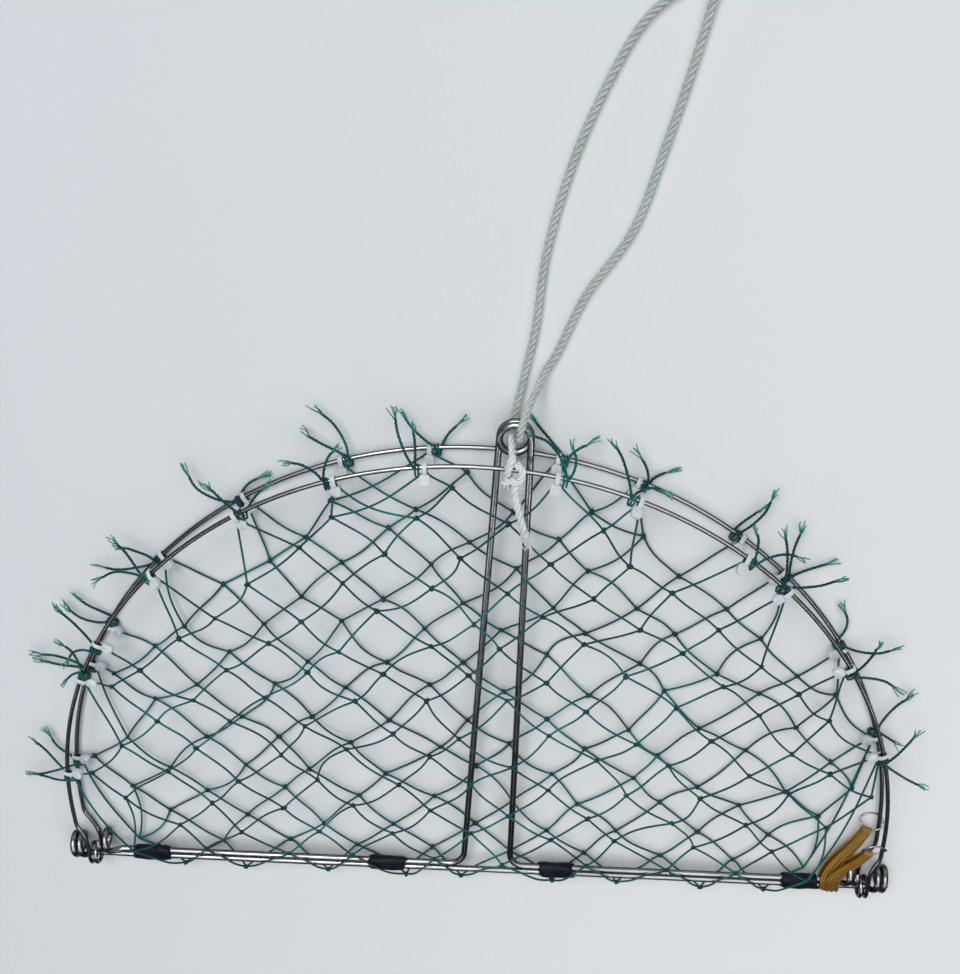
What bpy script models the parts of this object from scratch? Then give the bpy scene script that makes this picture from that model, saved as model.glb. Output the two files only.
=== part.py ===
"""Folding crab trap, closed and lying flat.

Two half-round wire hoops, each with its own net, hinge on one straight base bar.
A bent wire post stands on the same bar between them and carries a wound eye at its top.
The rope runs through that eye: one strand is tied to each hoop, so a pull on it shuts the trap.

Units are metres. +X runs along the base bar, +Y from the bar to the eye, and +Z up.
In the axes of a hoop or of the post, x runs along the bar, y away from it and z off the flat.
"""
import math

import bmesh
import bpy
from mathutils import Euler, Matrix, Vector, geometry

# Wires
HEAVY_WIRE = 0.00175
HOOP_WIRE = 0.00115
RING_WIRE = 0.0005
GAP = 0.0003

# Hoops: an arc that ends a little past its widest point, then a leg and a hooked eye
HOOP_RADIUS = 0.228
HOOP_HALF_SPAN = 0.225
HOOP_EYE_RADIUS = 0.0056
HOOP_EYE_TURN = math.radians(300)
FRONT_EYE_X = 0.2240
REAR_EYE_X = 0.2208
LEG_STRAIGHT = 0.007
LEG_KNEE_Y = 0.0155
LEG_KNEE_OUT = 0.0018
LEG_WIDEST = 0.2242
LEG_END_Y = 0.026
LEG_STEP = 0.004
HOOP_STEPS = 25
HOOP_EYE_STEPS = 12

# Hinge line and how far each flat leans up from the floor
HINGE_Y = -0.1386
HINGE_Z = 0.00795
POST_REST = 0.02
FRONT_REST = 0.04

# Base bar, post legs and their wound ends
COIL_RADIUS = 0.0062
COIL_PITCH = 0.0038
BAR_COIL_TURN = math.radians(720)
LEG_COIL_TURN = math.radians(486)
COIL_STEP_TURN = math.radians(27)
COIL_LEAD_TURN = math.radians(70)
BAR_COIL_X = 0.2279
BAR_LEAD_IN = 0.004
BAR_STRAIGHT_X = (-0.1, 0.0, 0.1)
LEG_COIL_X = 0.2122
LEG_LEAD_IN = 0.006
LEG_Y = 0.0038

# Post: off centre and out of square, as hand-bent wire is
POST_X = 0.009
POST_LEAN = math.radians(3.3)
POST_FOOT_HALF = 0.0132
POST_BEND = 0.0085
POST_BEND_STEPS = 6
POST_STEPS = 6
EYE_Y = 0.275
EYE_RADIUS = 0.0076
EYE_PITCH = 0.0040
EYE_TURNS = 1.5
EYE_STEPS = 27

# Sleeves that hold the post legs to the bar
SLEEVE_X = (-0.188, -0.049, 0.049, 0.187)
SLEEVE_LENGTH = 0.020
SLEEVE_WALL = 0.0008
SLEEVE_TAPER = 0.003
SLEEVE_END_WALL = 0.3
SLEEVE_SIDES = 12

# Net
TWINE = 0.0012
DIAMOND_WIDE = 0.043
DIAMOND_HIGH = 0.037
NET_BORDER_IN = 0.0022
NET_FOOT_Y = 0.007
NET_FOOT_LEFT = -0.197
NET_FOOT_RIGHT = 0.190
NET_ARC_LEFT_Y = 0.038
NET_ARC_RIGHT_Y = 0.060
NET_INSET = 0.008
NET_ROWS = range(1, 16)
NET_COLUMNS = range(-11, 12)
NET_ARC_STEPS = 120
BORDER_LEAST = 0.012
BORDER_MOST = 0.020
STRAND_REACH = 4
PARALLEL_SINE = 0.1
CORNER_SHARE = 0.4

# Ties: the strap's two outlines across the wire as (y, z), then its neck and head
TIE_SPACING = 0.052
TIE_OUTSIDE = (
    (0.00235, -0.00155), (0.00235, 0.00155), (0.00155, 0.00235), (-0.0042, 0.00235),
    (-0.0042, 0.0009), (-0.0042, -0.00155), (-0.0034, -0.00235), (0.00155, -0.00235),
)
TIE_INSIDE = (
    (0.00145, -0.00105), (0.00145, 0.00105), (0.00105, 0.00145), (-0.0033, 0.00145),
    (-0.0033, 0.0009), (-0.0033, -0.00105), (-0.0029, -0.00145), (0.00105, -0.00145),
)
TIE_WIDTH = 0.0024
TIE_HEAD_WIDTH = 0.0046
TIE_HEAD_SPOT = Vector((0.0, -0.0042, 0.0016))
TIE_HEAD_Z = 0.0009
TIE_HEAD_GROW = 1.9
TIE_NECK_LONG = 0.0005
TIE_HEAD_LONG = 0.0042
TIE_ROOM = 0.012
TIE_END_ROOM = math.radians(3)

# Rings and rubber bands by the right hinge
RING_LONG = 0.0070
RING_SHORT = 0.0050
RING_IN = 0.0048
RING_LIFT = 0.00185
RING_SHAPE = 3
RING_POINTS = 20
FRONT_RING_Y = 0.033
REAR_RING_Y = 0.042
BAND = 0.0005
BAND_PITCH = 0.0018
BAND_TURN = 0.0066
BAND_GRIP = math.radians(245)
BAND_RING_ROOM = 0.0008
BAND_TURN_STEPS = 8
BAND_RING_STEPS = 4
BAND_SHIFT_REACH = 0.0185
BAND_SHIFT_LEAST = 0.3
FRONT_BAND_X = (0.2056, 0.2076)
REAR_BAND_X = (0.2003, 0.2022)

# Rope
ROPE = 0.0020
ROPE_FLOOR_Z = ROPE + 0.00005
ROPE_KNOT_Z = ROPE_FLOOR_Z + 0.001
ROPE_STEP = 0.011
LEAD_STEP = 0.005
STRAND_APART = 0.0023
KNOT_CLEAR = 0.00095
KNOT_BORE = HOOP_WIRE + 1.5 * GAP
KNOT_CUT_LONG = 0.03
KNOT_CUT_DEEP = 0.02
FRONT_KNOT_OFF = Vector((0.0, -0.0028, 0.0040))
REAR_KNOT_OFF = Vector((0.0, 0.0017, 0.0033))
FRONT_KNOT_HALF = (0.0056, 0.0083, 0.0052)
REAR_KNOT_HALF = (0.0055, 0.0068, 0.0046)
JOIN_KNOT = Vector((0.107, 0.341, 0.0052))
JOIN_KNOT_HALF = (0.0068, 0.0072, 0.0048)
TAIL_RADIUS = 0.8 * ROPE
TAIL_OFF = Vector((0.0006, -0.0088, 0.0020))
TAIL_REACH = (Vector((0.003, -0.012, 0.0012)), Vector((0.0065, -0.027, -0.0004)))
COIL_OUTER = 0.036
COIL_STEP = 0.0045
COIL_LOOPS = 5
LOOP_POINTS = 24
ROPE_COIL_CENTRE = Vector((0.148, 0.385, ROPE_FLOOR_Z))

# Rope strands through the eye: x is counted from the strand's own side of it
FRONT_LEAD = (
    (0.0, 0.1306, 0.0234), (0.0, 0.1331, 0.0182), (0.0, 0.1362, 0.0128), (0.0002, 0.1388, 0.0086),
    (0.0010, 0.1428, 0.0050), (0.0026, 0.1490, 0.0028), (0.0046, 0.1580, ROPE_FLOOR_Z),
    (0.0062, 0.1650, ROPE_FLOOR_Z),
)
REAR_LEAD = (
    (0.0, 0.1332, 0.0092), (0.0, 0.1342, 0.0113), (0.0, 0.1360, 0.0150), (0.0, 0.1386, 0.0186),
    (0.0006, 0.1436, 0.0205), (0.0030, 0.1505, 0.0168), (0.0070, 0.1580, 0.0085), (0.0115, 0.1665, 0.0028),
    (0.0160, 0.1740, ROPE_FLOOR_Z),
)

# Rope on the floor, from each strand to the knot that joins them
FRONT_LINE = ((0.0330, 0.186), (0.038, 0.224), (0.049, 0.264), (0.063, 0.297), (0.078, 0.322))
FRONT_LINE_END = (0.0994, 0.3385, ROPE_KNOT_Z)
REAR_LINE = ((0.056, 0.203), (0.076, 0.233), (0.089, 0.272), (0.098, 0.303))
REAR_LINE_END = (0.1055, 0.3334, ROPE_KNOT_Z)
MAIN_START = (0.1090, 0.3484, ROPE_KNOT_Z)
MAIN_BEND = (0.1112, 0.362, ROPE_FLOOR_Z)
MAIN_COIL_Y = 0.372

# How finely curves and edges are drawn
ROUTE_STEPS = 40
SHARP_EDGE = math.radians(40)

HOOP_RISE = math.sqrt(HOOP_RADIUS ** 2 - HOOP_HALF_SPAN ** 2)


# Scene and materials
def clear_scene():
    for old in list(bpy.data.objects):
        bpy.data.objects.remove(old)


def material(name, colour, roughness, metallic=0.0):
    made = bpy.data.materials.new(name)
    made.use_nodes = True
    shader = made.node_tree.nodes["Principled BSDF"]
    shader.inputs["Base Color"].default_value = (*colour, 1.0)
    shader.inputs["Roughness"].default_value = roughness
    shader.inputs["Metallic"].default_value = metallic
    made.diffuse_color = (*colour, 1.0)
    return made


def place(name, data, look, parent=None):
    """A named object in its parent's own axes."""
    made = bpy.data.objects.new(name, data)
    bpy.context.collection.objects.link(made)
    data.materials.append(look)
    made.parent = parent
    return made


def pivot(name, lean):
    """An empty on the hinge line, turned up from the floor by lean."""
    empty = bpy.data.objects.new(name, None)
    bpy.context.collection.objects.link(empty)
    empty.location = (0.0, HINGE_Y, HINGE_Z)
    empty.rotation_euler = (lean, 0.0, 0.0)
    return empty


def to_world(point, lean):
    """A point in the axes of a flat that leans up by lean, in world axes."""
    return Euler((lean, 0.0, 0.0)).to_matrix() @ Vector(point) + Vector((0.0, HINGE_Y, HINGE_Z))


def ride(obj, parent):
    """Keeps obj where it is in world axes and lets it move with parent."""
    bpy.context.view_layer.update()
    obj.parent = parent
    obj.matrix_parent_inverse = parent.matrix_world.inverted()


# Wires and cords
def tube(name, points, radius, look, parent=None, sides=8, closed=False):
    """A round wire or cord along the points."""
    curve = bpy.data.curves.new(name, "CURVE")
    curve.dimensions = "3D"
    curve.bevel_depth = radius
    curve.bevel_resolution = sides // 2 - 2
    curve.use_fill_caps = not closed
    spline = curve.splines.new("POLY")
    spline.points.add(len(points) - 1)
    for slot, point in zip(spline.points, points):
        slot.co = (*point, 1.0)
    spline.use_cyclic_u = closed
    spline.use_smooth = True
    return place(name, curve, look, parent)


def smooth_route(points, step):
    """Evenly spaced points on a smooth curve through the route's own points."""
    knots = [Vector(p) for p in points]
    knots = [2 * knots[0] - knots[1]] + knots + [2 * knots[-1] - knots[-2]]
    fine = []
    for before, start, end, after in zip(knots, knots[1:], knots[2:], knots[3:]):
        for k in range(ROUTE_STEPS):
            t = k / ROUTE_STEPS
            bend = (2 * before - 5 * start + 4 * end - after) * t * t
            turn = (3 * start - before - 3 * end + after) * t * t * t
            fine.append(0.5 * (2 * start + (end - before) * t + bend + turn))
    fine.append(knots[-2])
    lengths = [0.0]
    for a, b in zip(fine, fine[1:]):
        lengths.append(lengths[-1] + (b - a).length)
    count = max(2, round(lengths[-1] / step))
    route = []
    at = 0
    for k in range(count + 1):
        want = lengths[-1] * k / count
        while at < len(fine) - 2 and lengths[at + 1] < want:
            at += 1
        part = (want - lengths[at]) / (lengths[at + 1] - lengths[at])
        route.append(fine[at].lerp(fine[at + 1], part))
    return route


def carry_on(points):
    """The first two points of a cord that goes straight on from another cord's end face."""
    end = Vector(points[-1])
    way = (end - Vector(points[-2])).normalized()
    return [end + way * 1.5 * GAP, end + way * 3 * ROPE]


def route_length(points):
    return sum((b - a).length for a, b in zip(points, points[1:]))


# Hoops
def hoop_arc(angle, inwards=0.0):
    """A point on the hoop's arc in its own flat, angle from the top, inwards of the wire."""
    radius = HOOP_RADIUS - inwards
    return Vector((radius * math.sin(angle), HOOP_RISE + radius * math.cos(angle), 0.0))


def arc_angle(y, inwards=0.0):
    return math.acos((y - HOOP_RISE) / (HOOP_RADIUS - inwards))


def hoop_points(eye_x, side):
    """Half the hoop from its hooked eye to the top, then the other half mirrored."""
    level = side * HOOP_EYE_RADIUS
    half = []
    for k in range(HOOP_EYE_STEPS, 0, -1):
        turn = HOOP_EYE_TURN * k / HOOP_EYE_STEPS
        half.append(Vector((eye_x, -HOOP_EYE_RADIUS * math.sin(turn), level * math.cos(turn))))
    knee_x = min(eye_x + LEG_KNEE_OUT, LEG_WIDEST)
    foot = hoop_arc(arc_angle(LEG_END_Y))
    leg = [(eye_x, 0.0, 0.0), (eye_x, LEG_STRAIGHT, 0.0), (knee_x, LEG_KNEE_Y, 0.0), foot]
    half += [p + Vector((0.0, 0.0, level)) for p in smooth_route(leg, LEG_STEP)[:-1]]
    start = arc_angle(LEG_END_Y)
    for k in range(HOOP_STEPS, -1, -1):
        half.append(hoop_arc(start * k / HOOP_STEPS) + Vector((0.0, 0.0, level)))
    other = [Vector((-p.x, p.y, p.z)) for p in reversed(half[:-1])]
    return half + other


# Base bar and post
def wound_end(coil_x, start_y, lead_in, whole):
    """The turns at a wire's +X end, beside and above the straight wire at start_y, whole radians in all."""
    points = []
    steps = round(whole / COIL_STEP_TURN)
    for k in range(steps + 1):
        turn = whole * k / steps
        slide = lead_in * max(0.0, 1 - turn / COIL_LEAD_TURN) ** 2
        x = coil_x + COIL_PITCH * turn / math.tau - slide
        y = start_y + COIL_RADIUS * (1 - math.cos(turn))
        points.append(Vector((x, y, COIL_RADIUS * math.sin(turn))))
    return points


def base_bar_points():
    right = wound_end(BAR_COIL_X, 0.0, BAR_LEAD_IN, BAR_COIL_TURN)
    left = [Vector((-p.x, p.y, p.z)) for p in reversed(right)]
    return left + [Vector((x, 0.0, 0.0)) for x in BAR_STRAIGHT_X] + right


def post_place(across, up, off=0.0):
    """A point of the post from its own upright axes to the leaning ones."""
    return Vector((POST_X + across + (up - LEG_Y) * math.tan(POST_LEAN), up, off))


def post_points():
    """Left coil, left leg, left upright, wound eye, and down the other side."""
    right_coil = wound_end(LEG_COIL_X, LEG_Y, LEG_LEAD_IN, LEG_COIL_TURN)
    left_coil = [Vector((-p.x, p.y, p.z)) for p in reversed(right_coil)]
    uprights = []
    for side in (-1, 1):
        foot = []
        for k in range(POST_BEND_STEPS + 1):
            angle = math.radians(90) * k / POST_BEND_STEPS
            across = side * (POST_FOOT_HALF + POST_BEND * (1 - math.sin(angle)))
            up = LEG_Y + POST_BEND * (1 - math.cos(angle))
            foot.append(post_place(across, up))
        top_off = side * EYE_TURNS * EYE_PITCH / 2
        for k in range(1, POST_STEPS):
            part = k / POST_STEPS
            up = LEG_Y + POST_BEND + (EYE_Y - LEG_Y - POST_BEND) * part
            across = side * (POST_FOOT_HALF + (EYE_RADIUS - POST_FOOT_HALF) * part)
            foot.append(post_place(across, up, top_off * part))
        uprights.append(foot)
    eye = []
    for k in range(EYE_STEPS + 1):
        turn = math.tau * EYE_TURNS * k / EYE_STEPS
        off = EYE_PITCH * (turn / math.tau - EYE_TURNS / 2)
        across = -EYE_RADIUS * math.cos(turn)
        eye.append(post_place(across, EYE_Y + EYE_RADIUS * math.sin(turn), off))
    return left_coil + uprights[0] + eye + list(reversed(uprights[1])) + right_coil


def oval(half_long, half_short):
    """A rounded slot's outline, long in y."""
    ring = []
    for k in range(SLEEVE_SIDES):
        angle = math.tau * (k + 0.5) / SLEEVE_SIDES
        straight = half_long - half_short
        y = half_short * math.sin(angle) + math.copysign(straight, math.sin(angle))
        ring.append((y, half_short * math.cos(angle)))
    return ring


def loft(bm, rings):
    """Joins rings of points in order, each to the next, and the last to the first."""
    loops = [[bm.verts.new(p) for p in ring] for ring in rings]
    for a, b in zip(loops, loops[1:] + loops[:1]):
        for k in range(len(a)):
            nxt = (k + 1) % len(a)
            bm.faces.new((a[k], a[nxt], b[nxt], b[k]))


def finish_mesh(bm, name):
    bmesh.ops.recalc_face_normals(bm, faces=bm.faces)
    mesh = bpy.data.meshes.new(name)
    bm.to_mesh(mesh)
    bm.free()
    mesh.shade_smooth()
    mesh.set_sharp_from_angle(angle=SHARP_EDGE)
    return mesh


def sleeve_mesh():
    """A soft sleeve round the bar and a post leg, drawn in at both ends."""
    bore_long = LEG_Y / 2 + HEAVY_WIRE + GAP
    bore_short = HEAVY_WIRE + GAP
    half = SLEEVE_LENGTH / 2
    taper = half - SLEEVE_TAPER
    outside = ((-half, SLEEVE_END_WALL), (-taper, 1.0), (taper, 1.0), (half, SLEEVE_END_WALL))
    rings = []
    for x, part in outside:
        wall = SLEEVE_WALL * part
        rings.append([(x, y, z) for y, z in oval(bore_long + wall, bore_short + wall)])
    for x in (half, -half):
        rings.append([(x, y, z) for y, z in oval(bore_long, bore_short)])
    bm = bmesh.new()
    loft(bm, rings)
    return finish_mesh(bm, "sleeve")


# Net
def net_outline():
    """The net's edge in its own flat, anticlockwise from the left end of the foot."""
    left = arc_angle(NET_ARC_LEFT_Y, NET_BORDER_IN)
    right = arc_angle(NET_ARC_RIGHT_Y, NET_BORDER_IN)
    outline = [Vector((NET_FOOT_LEFT, NET_FOOT_Y)), Vector((NET_FOOT_RIGHT, NET_FOOT_Y))]
    for k in range(NET_ARC_STEPS + 1):
        outline.append(hoop_arc(right - (right + left) * k / NET_ARC_STEPS, NET_BORDER_IN).xy)
    return outline


def outline_hit(outline, start, end):
    """Where the line from start to end first meets the outline, as a length along it."""
    best = None
    run = 0.0
    for a, b in zip(outline, outline[1:] + outline[:1]):
        hit = geometry.intersect_line_line_2d(start, end, a, b)
        if hit is not None and (best is None or (hit - start).length < best[0]):
            best = ((hit - start).length, run + (hit - a).length)
        run += (b - a).length
    return None if best is None else best[1]


def along_outline(outline, want):
    """The point at a length along the outline."""
    run = 0.0
    for a, b in zip(outline, outline[1:] + outline[:1]):
        side = (b - a).length
        if run + side >= want:
            return a.lerp(b, (want - run) / side)
        run += side
    return outline[0].copy()


def net_inside(outline):
    """Lattice knots that lie well inside the outline, by their place in the lattice."""
    knots = {}
    for row in NET_ROWS:
        for column in NET_COLUMNS:
            if (row + column) % 2:
                continue
            point = Vector((column * DIAMOND_WIDE / 2, NET_FOOT_Y + row * DIAMOND_HIGH / 2))
            room = min(edge_distance(point, a, b) for a, b in zip(outline, outline[1:] + outline[:1]))
            if room > NET_INSET:
                knots[(column, row)] = point
    return knots


def edge_distance(point, a, b):
    """How far the point lies to the left of the edge from a to b."""
    edge = (b - a).normalized()
    return edge.x * (point.y - a.y) - edge.y * (point.x - a.x)


def net_graph():
    """Points, strands between them, and the lengths along the edge where strands end."""
    outline = net_outline()
    knots = net_inside(outline)
    points = list(knots.values())
    index = {key: k for k, key in enumerate(knots)}
    strands = []
    ends = []
    for (column, row), here in index.items():
        for right, up in ((1, 1), (1, -1), (-1, 1), (-1, -1)):
            there = index.get((column + right, row + up))
            if there is None:
                away = Vector((right * DIAMOND_WIDE, up * DIAMOND_HIGH)) * STRAND_REACH
                ends.append((outline_hit(outline, points[here], points[here] + away), here))
            elif there > here:
                strands.append((here, there))
    ends.sort()
    groups = [[ends[0]]]
    for end in ends[1:]:
        if end[0] - groups[-1][0][0] < BORDER_LEAST:
            groups[-1].append(end)
        else:
            groups.append([end])
    places = [sum(e[0] for e in group) / len(group) for group in groups]
    total = sum((b - a).length for a, b in zip(outline, outline[1:] + outline[:1]))
    corners = [0.0, outline_run(outline, 1), outline_run(outline, 2), outline_run(outline, len(outline) - 1)]
    stops = [(place_, k) for k, place_ in enumerate(places)]
    for corner in corners:
        if min(abs(corner - place_) for place_ in places) > BORDER_LEAST:
            stops.append((corner, None))
    stops.sort(key=lambda stop: stop[0])
    border = []
    for (here, group), (there, _) in zip(stops, stops[1:] + [(stops[0][0] + total, None)]):
        border.append((here, group))
        parts = max(1, math.ceil((there - here) / BORDER_MOST))
        border += [((here + (there - here) * k / parts) % total, None) for k in range(1, parts)]
    first = len(points)
    for k, (length, group) in enumerate(border):
        points.append(along_outline(outline, length))
        strands.append((first + k, first + (k + 1) % len(border)))
        if group is not None:
            strands += [(knot, first + k) for knot in sorted({e[1] for e in groups[group]})]
    return points, strands, places


def outline_run(outline, count):
    return sum((b - a).length for a, b in zip(outline[:count], outline[1:count + 1]))


def strand_corners(points, strands):
    """For each point, the corners of its strands' edges where they meet, anticlockwise."""
    around = [[] for _ in points]
    for a, b in strands:
        around[a].append(b)
        around[b].append(a)
    corners = []
    for here, ends in enumerate(around):
        ways = sorted(((points[e] - points[here]).to_tuple(), e) for e in ends)
        ways.sort(key=lambda way: math.atan2(way[0][1], way[0][0]))
        made = {}
        for (this, end), (after, next_end) in zip(ways, ways[1:] + ways[:1]):
            u, v = Vector(this), Vector(after)
            short = min(u.length, v.length)
            u.normalize()
            v.normalize()
            sine = u.x * v.y - u.y * v.x
            side = Vector((-u.y, u.x)) * TWINE / 2
            if abs(sine) > PARALLEL_SINE:
                side = (u + v) * TWINE / 2 / sine
            if side.length > CORNER_SHARE * short:
                side = side.normalized() * CORNER_SHARE * short
            made[end] = (points[here] + side, next_end)
        corners.append((ways, made))
    return corners


def net_mesh():
    """One flat sheet of square strands, joined at every knot."""
    points, strands, _ = net_graph()
    corners = strand_corners(points, strands)
    bm = bmesh.new()
    left = []
    right = []
    for ways, made in corners:
        pairs = {}
        before = {}
        for _, end in ways:
            spot, next_end = made[end]
            pair = [bm.verts.new((spot.x, spot.y, z)) for z in (-TWINE / 2, TWINE / 2)]
            pairs[end] = pair
            before[next_end] = pair
        left.append(pairs)
        right.append(before)
        if len(ways) > 2:
            bm.faces.new([pairs[end][1] for _, end in ways])
            bm.faces.new([pairs[end][0] for _, end in reversed(ways)])
    for a, b in strands:
        low_a, high_a = right[a][b]
        low_b, high_b = left[b][a]
        far_low_b, far_high_b = right[b][a]
        far_low_a, far_high_a = left[a][b]
        bm.faces.new((high_a, high_b, far_high_b, far_high_a))
        bm.faces.new((low_b, low_a, far_low_a, far_low_b))
        bm.faces.new((low_a, low_b, high_b, high_a))
        bm.faces.new((far_low_b, far_low_a, far_high_a, far_high_b))
    return finish_mesh(bm, "net")


# Ties
def tie_mesh():
    """A strap round the hoop wire and the net's edge, with its head on the inner side."""
    half = TIE_WIDTH / 2
    rings = [
        [(half, y, z) for y, z in TIE_OUTSIDE], [(-half, y, z) for y, z in TIE_OUTSIDE],
        [(-half, y, z) for y, z in TIE_INSIDE], [(half, y, z) for y, z in TIE_INSIDE],
    ]
    bm = bmesh.new()
    loft(bm, rings)
    bmesh.ops.recalc_face_normals(bm, faces=bm.faces)
    face = min(bm.faces, key=lambda f: (f.calc_center_median() - TIE_HEAD_SPOT).length)
    widen = TIE_HEAD_WIDTH / TIE_WIDTH
    for depth, wider, taller in ((TIE_NECK_LONG, widen, TIE_HEAD_GROW), (TIE_HEAD_LONG, 1.0, 1.0)):
        made = bmesh.ops.extrude_discrete_faces(bm, faces=[face])
        face = made["faces"][0]
        for vert in face.verts:
            vert.co.x *= wider
            vert.co.y -= depth
            vert.co.z = TIE_HEAD_Z + (vert.co.z - TIE_HEAD_Z) * taller
    return finish_mesh(bm, "tie")


def tie_angles():
    """Where the ties sit on the arc: mid-way between strands, about one tie spacing apart."""
    _, _, places = net_graph()
    outline = net_outline()
    lowest = -arc_angle(NET_ARC_LEFT_Y, NET_BORDER_IN) + TIE_END_ROOM
    highest = arc_angle(NET_ARC_RIGHT_Y, NET_BORDER_IN) - TIE_END_ROOM
    free = []
    for here, there in zip(places, places[1:]):
        middle = along_outline(outline, (here + there) / 2) - Vector((0.0, HOOP_RISE))
        angle = math.atan2(middle.x, middle.y)
        if there - here > TIE_ROOM and lowest < angle < highest:
            free.append(angle)
    free.sort()
    count = round((free[-1] - free[0]) * HOOP_RADIUS / TIE_SPACING)
    wanted = [free[0] + (free[-1] - free[0]) * k / count for k in range(count + 1)]
    return sorted({min(free, key=lambda angle: abs(angle - want)) for want in wanted})


# Rings and bands
def ring_place(ring_y, side, angle):
    """A point on the wire ring that passes over and under the hoop's wire."""
    wire = hoop_arc(arc_angle(ring_y))
    lift = RING_LIFT * math.tanh(RING_SHAPE * math.sin(angle)) / math.tanh(RING_SHAPE)
    x = wire.x - RING_IN + RING_LONG * math.cos(angle)
    y = ring_y + RING_SHORT * math.sin(angle)
    return Vector((x, y, side * (HOOP_EYE_RADIUS + lift)))


def ring_points(ring_y, side):
    return [ring_place(ring_y, side, math.tau * k / RING_POINTS) for k in range(RING_POINTS)]


def band_points(ring_y, side, bar_x, shift):
    """A stretched band from the ring down round the bar and the post leg."""
    top_x, top_y, top_z = ring_place(ring_y, side, BAND_GRIP + shift / RING_LONG)
    reach = math.hypot(top_y, top_z)
    way = math.atan2(top_z, top_y)
    small = RING_WIRE + BAND + BAND_RING_ROOM
    open_angle = math.acos((BAND_TURN - small) / reach)
    points = []
    for k in range(BAND_TURN_STEPS + 1):
        angle = way + open_angle + (math.tau - 2 * open_angle) * k / BAND_TURN_STEPS
        points.append((bar_x[0] + shift, BAND_TURN * math.cos(angle), BAND_TURN * math.sin(angle)))
    runs = []
    for sign in (-1, 1):
        angle = way + sign * open_angle
        low = Vector((BAND_TURN * math.cos(angle), BAND_TURN * math.sin(angle)))
        high = Vector((top_y + small * math.cos(angle), top_z + small * math.sin(angle)))
        part = (BAND_SHIFT_REACH - low.length) / (reach - low.length)
        middle = low.lerp(high, max(BAND_SHIFT_LEAST, part))
        runs.append((bar_x[1] + shift, middle.x, middle.y))
    points.append(runs[0])
    for k in range(BAND_RING_STEPS + 1):
        angle = way - open_angle + 2 * open_angle * k / BAND_RING_STEPS
        points.append((top_x, top_y + small * math.cos(angle), top_z + small * math.sin(angle)))
    points.append(runs[1])
    return [Vector(p) for p in points]


# Rope
def coil_points():
    """Loops that spiral in on the floor, climb a layer and spiral out again."""
    points = []
    steps = COIL_LOOPS * LOOP_POINTS
    climb = LOOP_POINTS // 2
    for k in range(2 * steps + 1):
        turn = math.pi - math.tau * k / LOOP_POINTS
        inwards = steps - abs(steps - k)
        radius = COIL_OUTER - COIL_STEP * inwards / LOOP_POINTS
        rise = min(max((k - steps + climb / 2) / climb, 0.0), 1.0)
        off = Vector((radius * math.cos(turn), radius * math.sin(turn), COIL_STEP * rise))
        points.append(ROPE_COIL_CENTRE + off)
    enter = Vector((points[0].x, points[0].y - 2 * ROPE, points[0].z))
    leave = (points[-1] - points[-2]).normalized() * 2 * ROPE + points[-1]
    return [enter] + points + [leave]


def least_gap(points, radius):
    """The least room between a wound tube's turns, measured on its points."""
    apart = LOOP_POINTS // 2
    least = min((a - b).length for k, a in enumerate(points) for b in points[k + apart:])
    return least - 2 * radius


def cut_away(obj, shape, name, spot, turn, parent):
    """Takes a hidden shape, turned along the hoop's wire, out of obj."""
    cutter = place(name, finish_mesh(shape, name), obj.data.materials[0])
    cutter.location = spot
    cutter.rotation_euler = turn.to_euler()
    cutter.hide_render = True
    cutter.display_type = "WIRE"
    ride(cutter, parent)
    cut = obj.modifiers.new(name, "BOOLEAN")
    cut.operation = "DIFFERENCE"
    cut.object = cutter


def knot(name, centre, half, look, parent, wire=None, turn=None):
    """A drawn-up knot: a rounded lump that sits over the hoop's wire and clear of the net."""
    bm = bmesh.new()
    bmesh.ops.create_uvsphere(bm, u_segments=12, v_segments=8, radius=1.0)
    bmesh.ops.scale(bm, vec=half, verts=bm.verts)
    made = place(name, finish_mesh(bm, name), look)
    made.location = centre
    if wire is not None:
        groove = bmesh.new()
        across = Matrix.Rotation(math.radians(90), 4, "Y")
        bmesh.ops.create_cone(
            groove, cap_ends=True, segments=12, radius1=KNOT_BORE, radius2=KNOT_BORE,
            depth=KNOT_CUT_LONG, matrix=across,
        )
        cut_away(made, groove, name + "_groove", wire, turn, parent)
        under = bmesh.new()
        size = Matrix.Diagonal((KNOT_CUT_LONG, KNOT_CUT_DEEP, KNOT_CUT_DEEP, 1.0))
        spot = Matrix.Translation((0.0, -KNOT_CUT_DEEP / 2, KNOT_CLEAR - KNOT_CUT_DEEP / 2))
        bmesh.ops.create_cube(under, size=1.0, matrix=spot @ size)
        cut_away(made, under, name + "_underside", wire, turn, parent)
    ride(made, parent)
    return made


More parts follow.
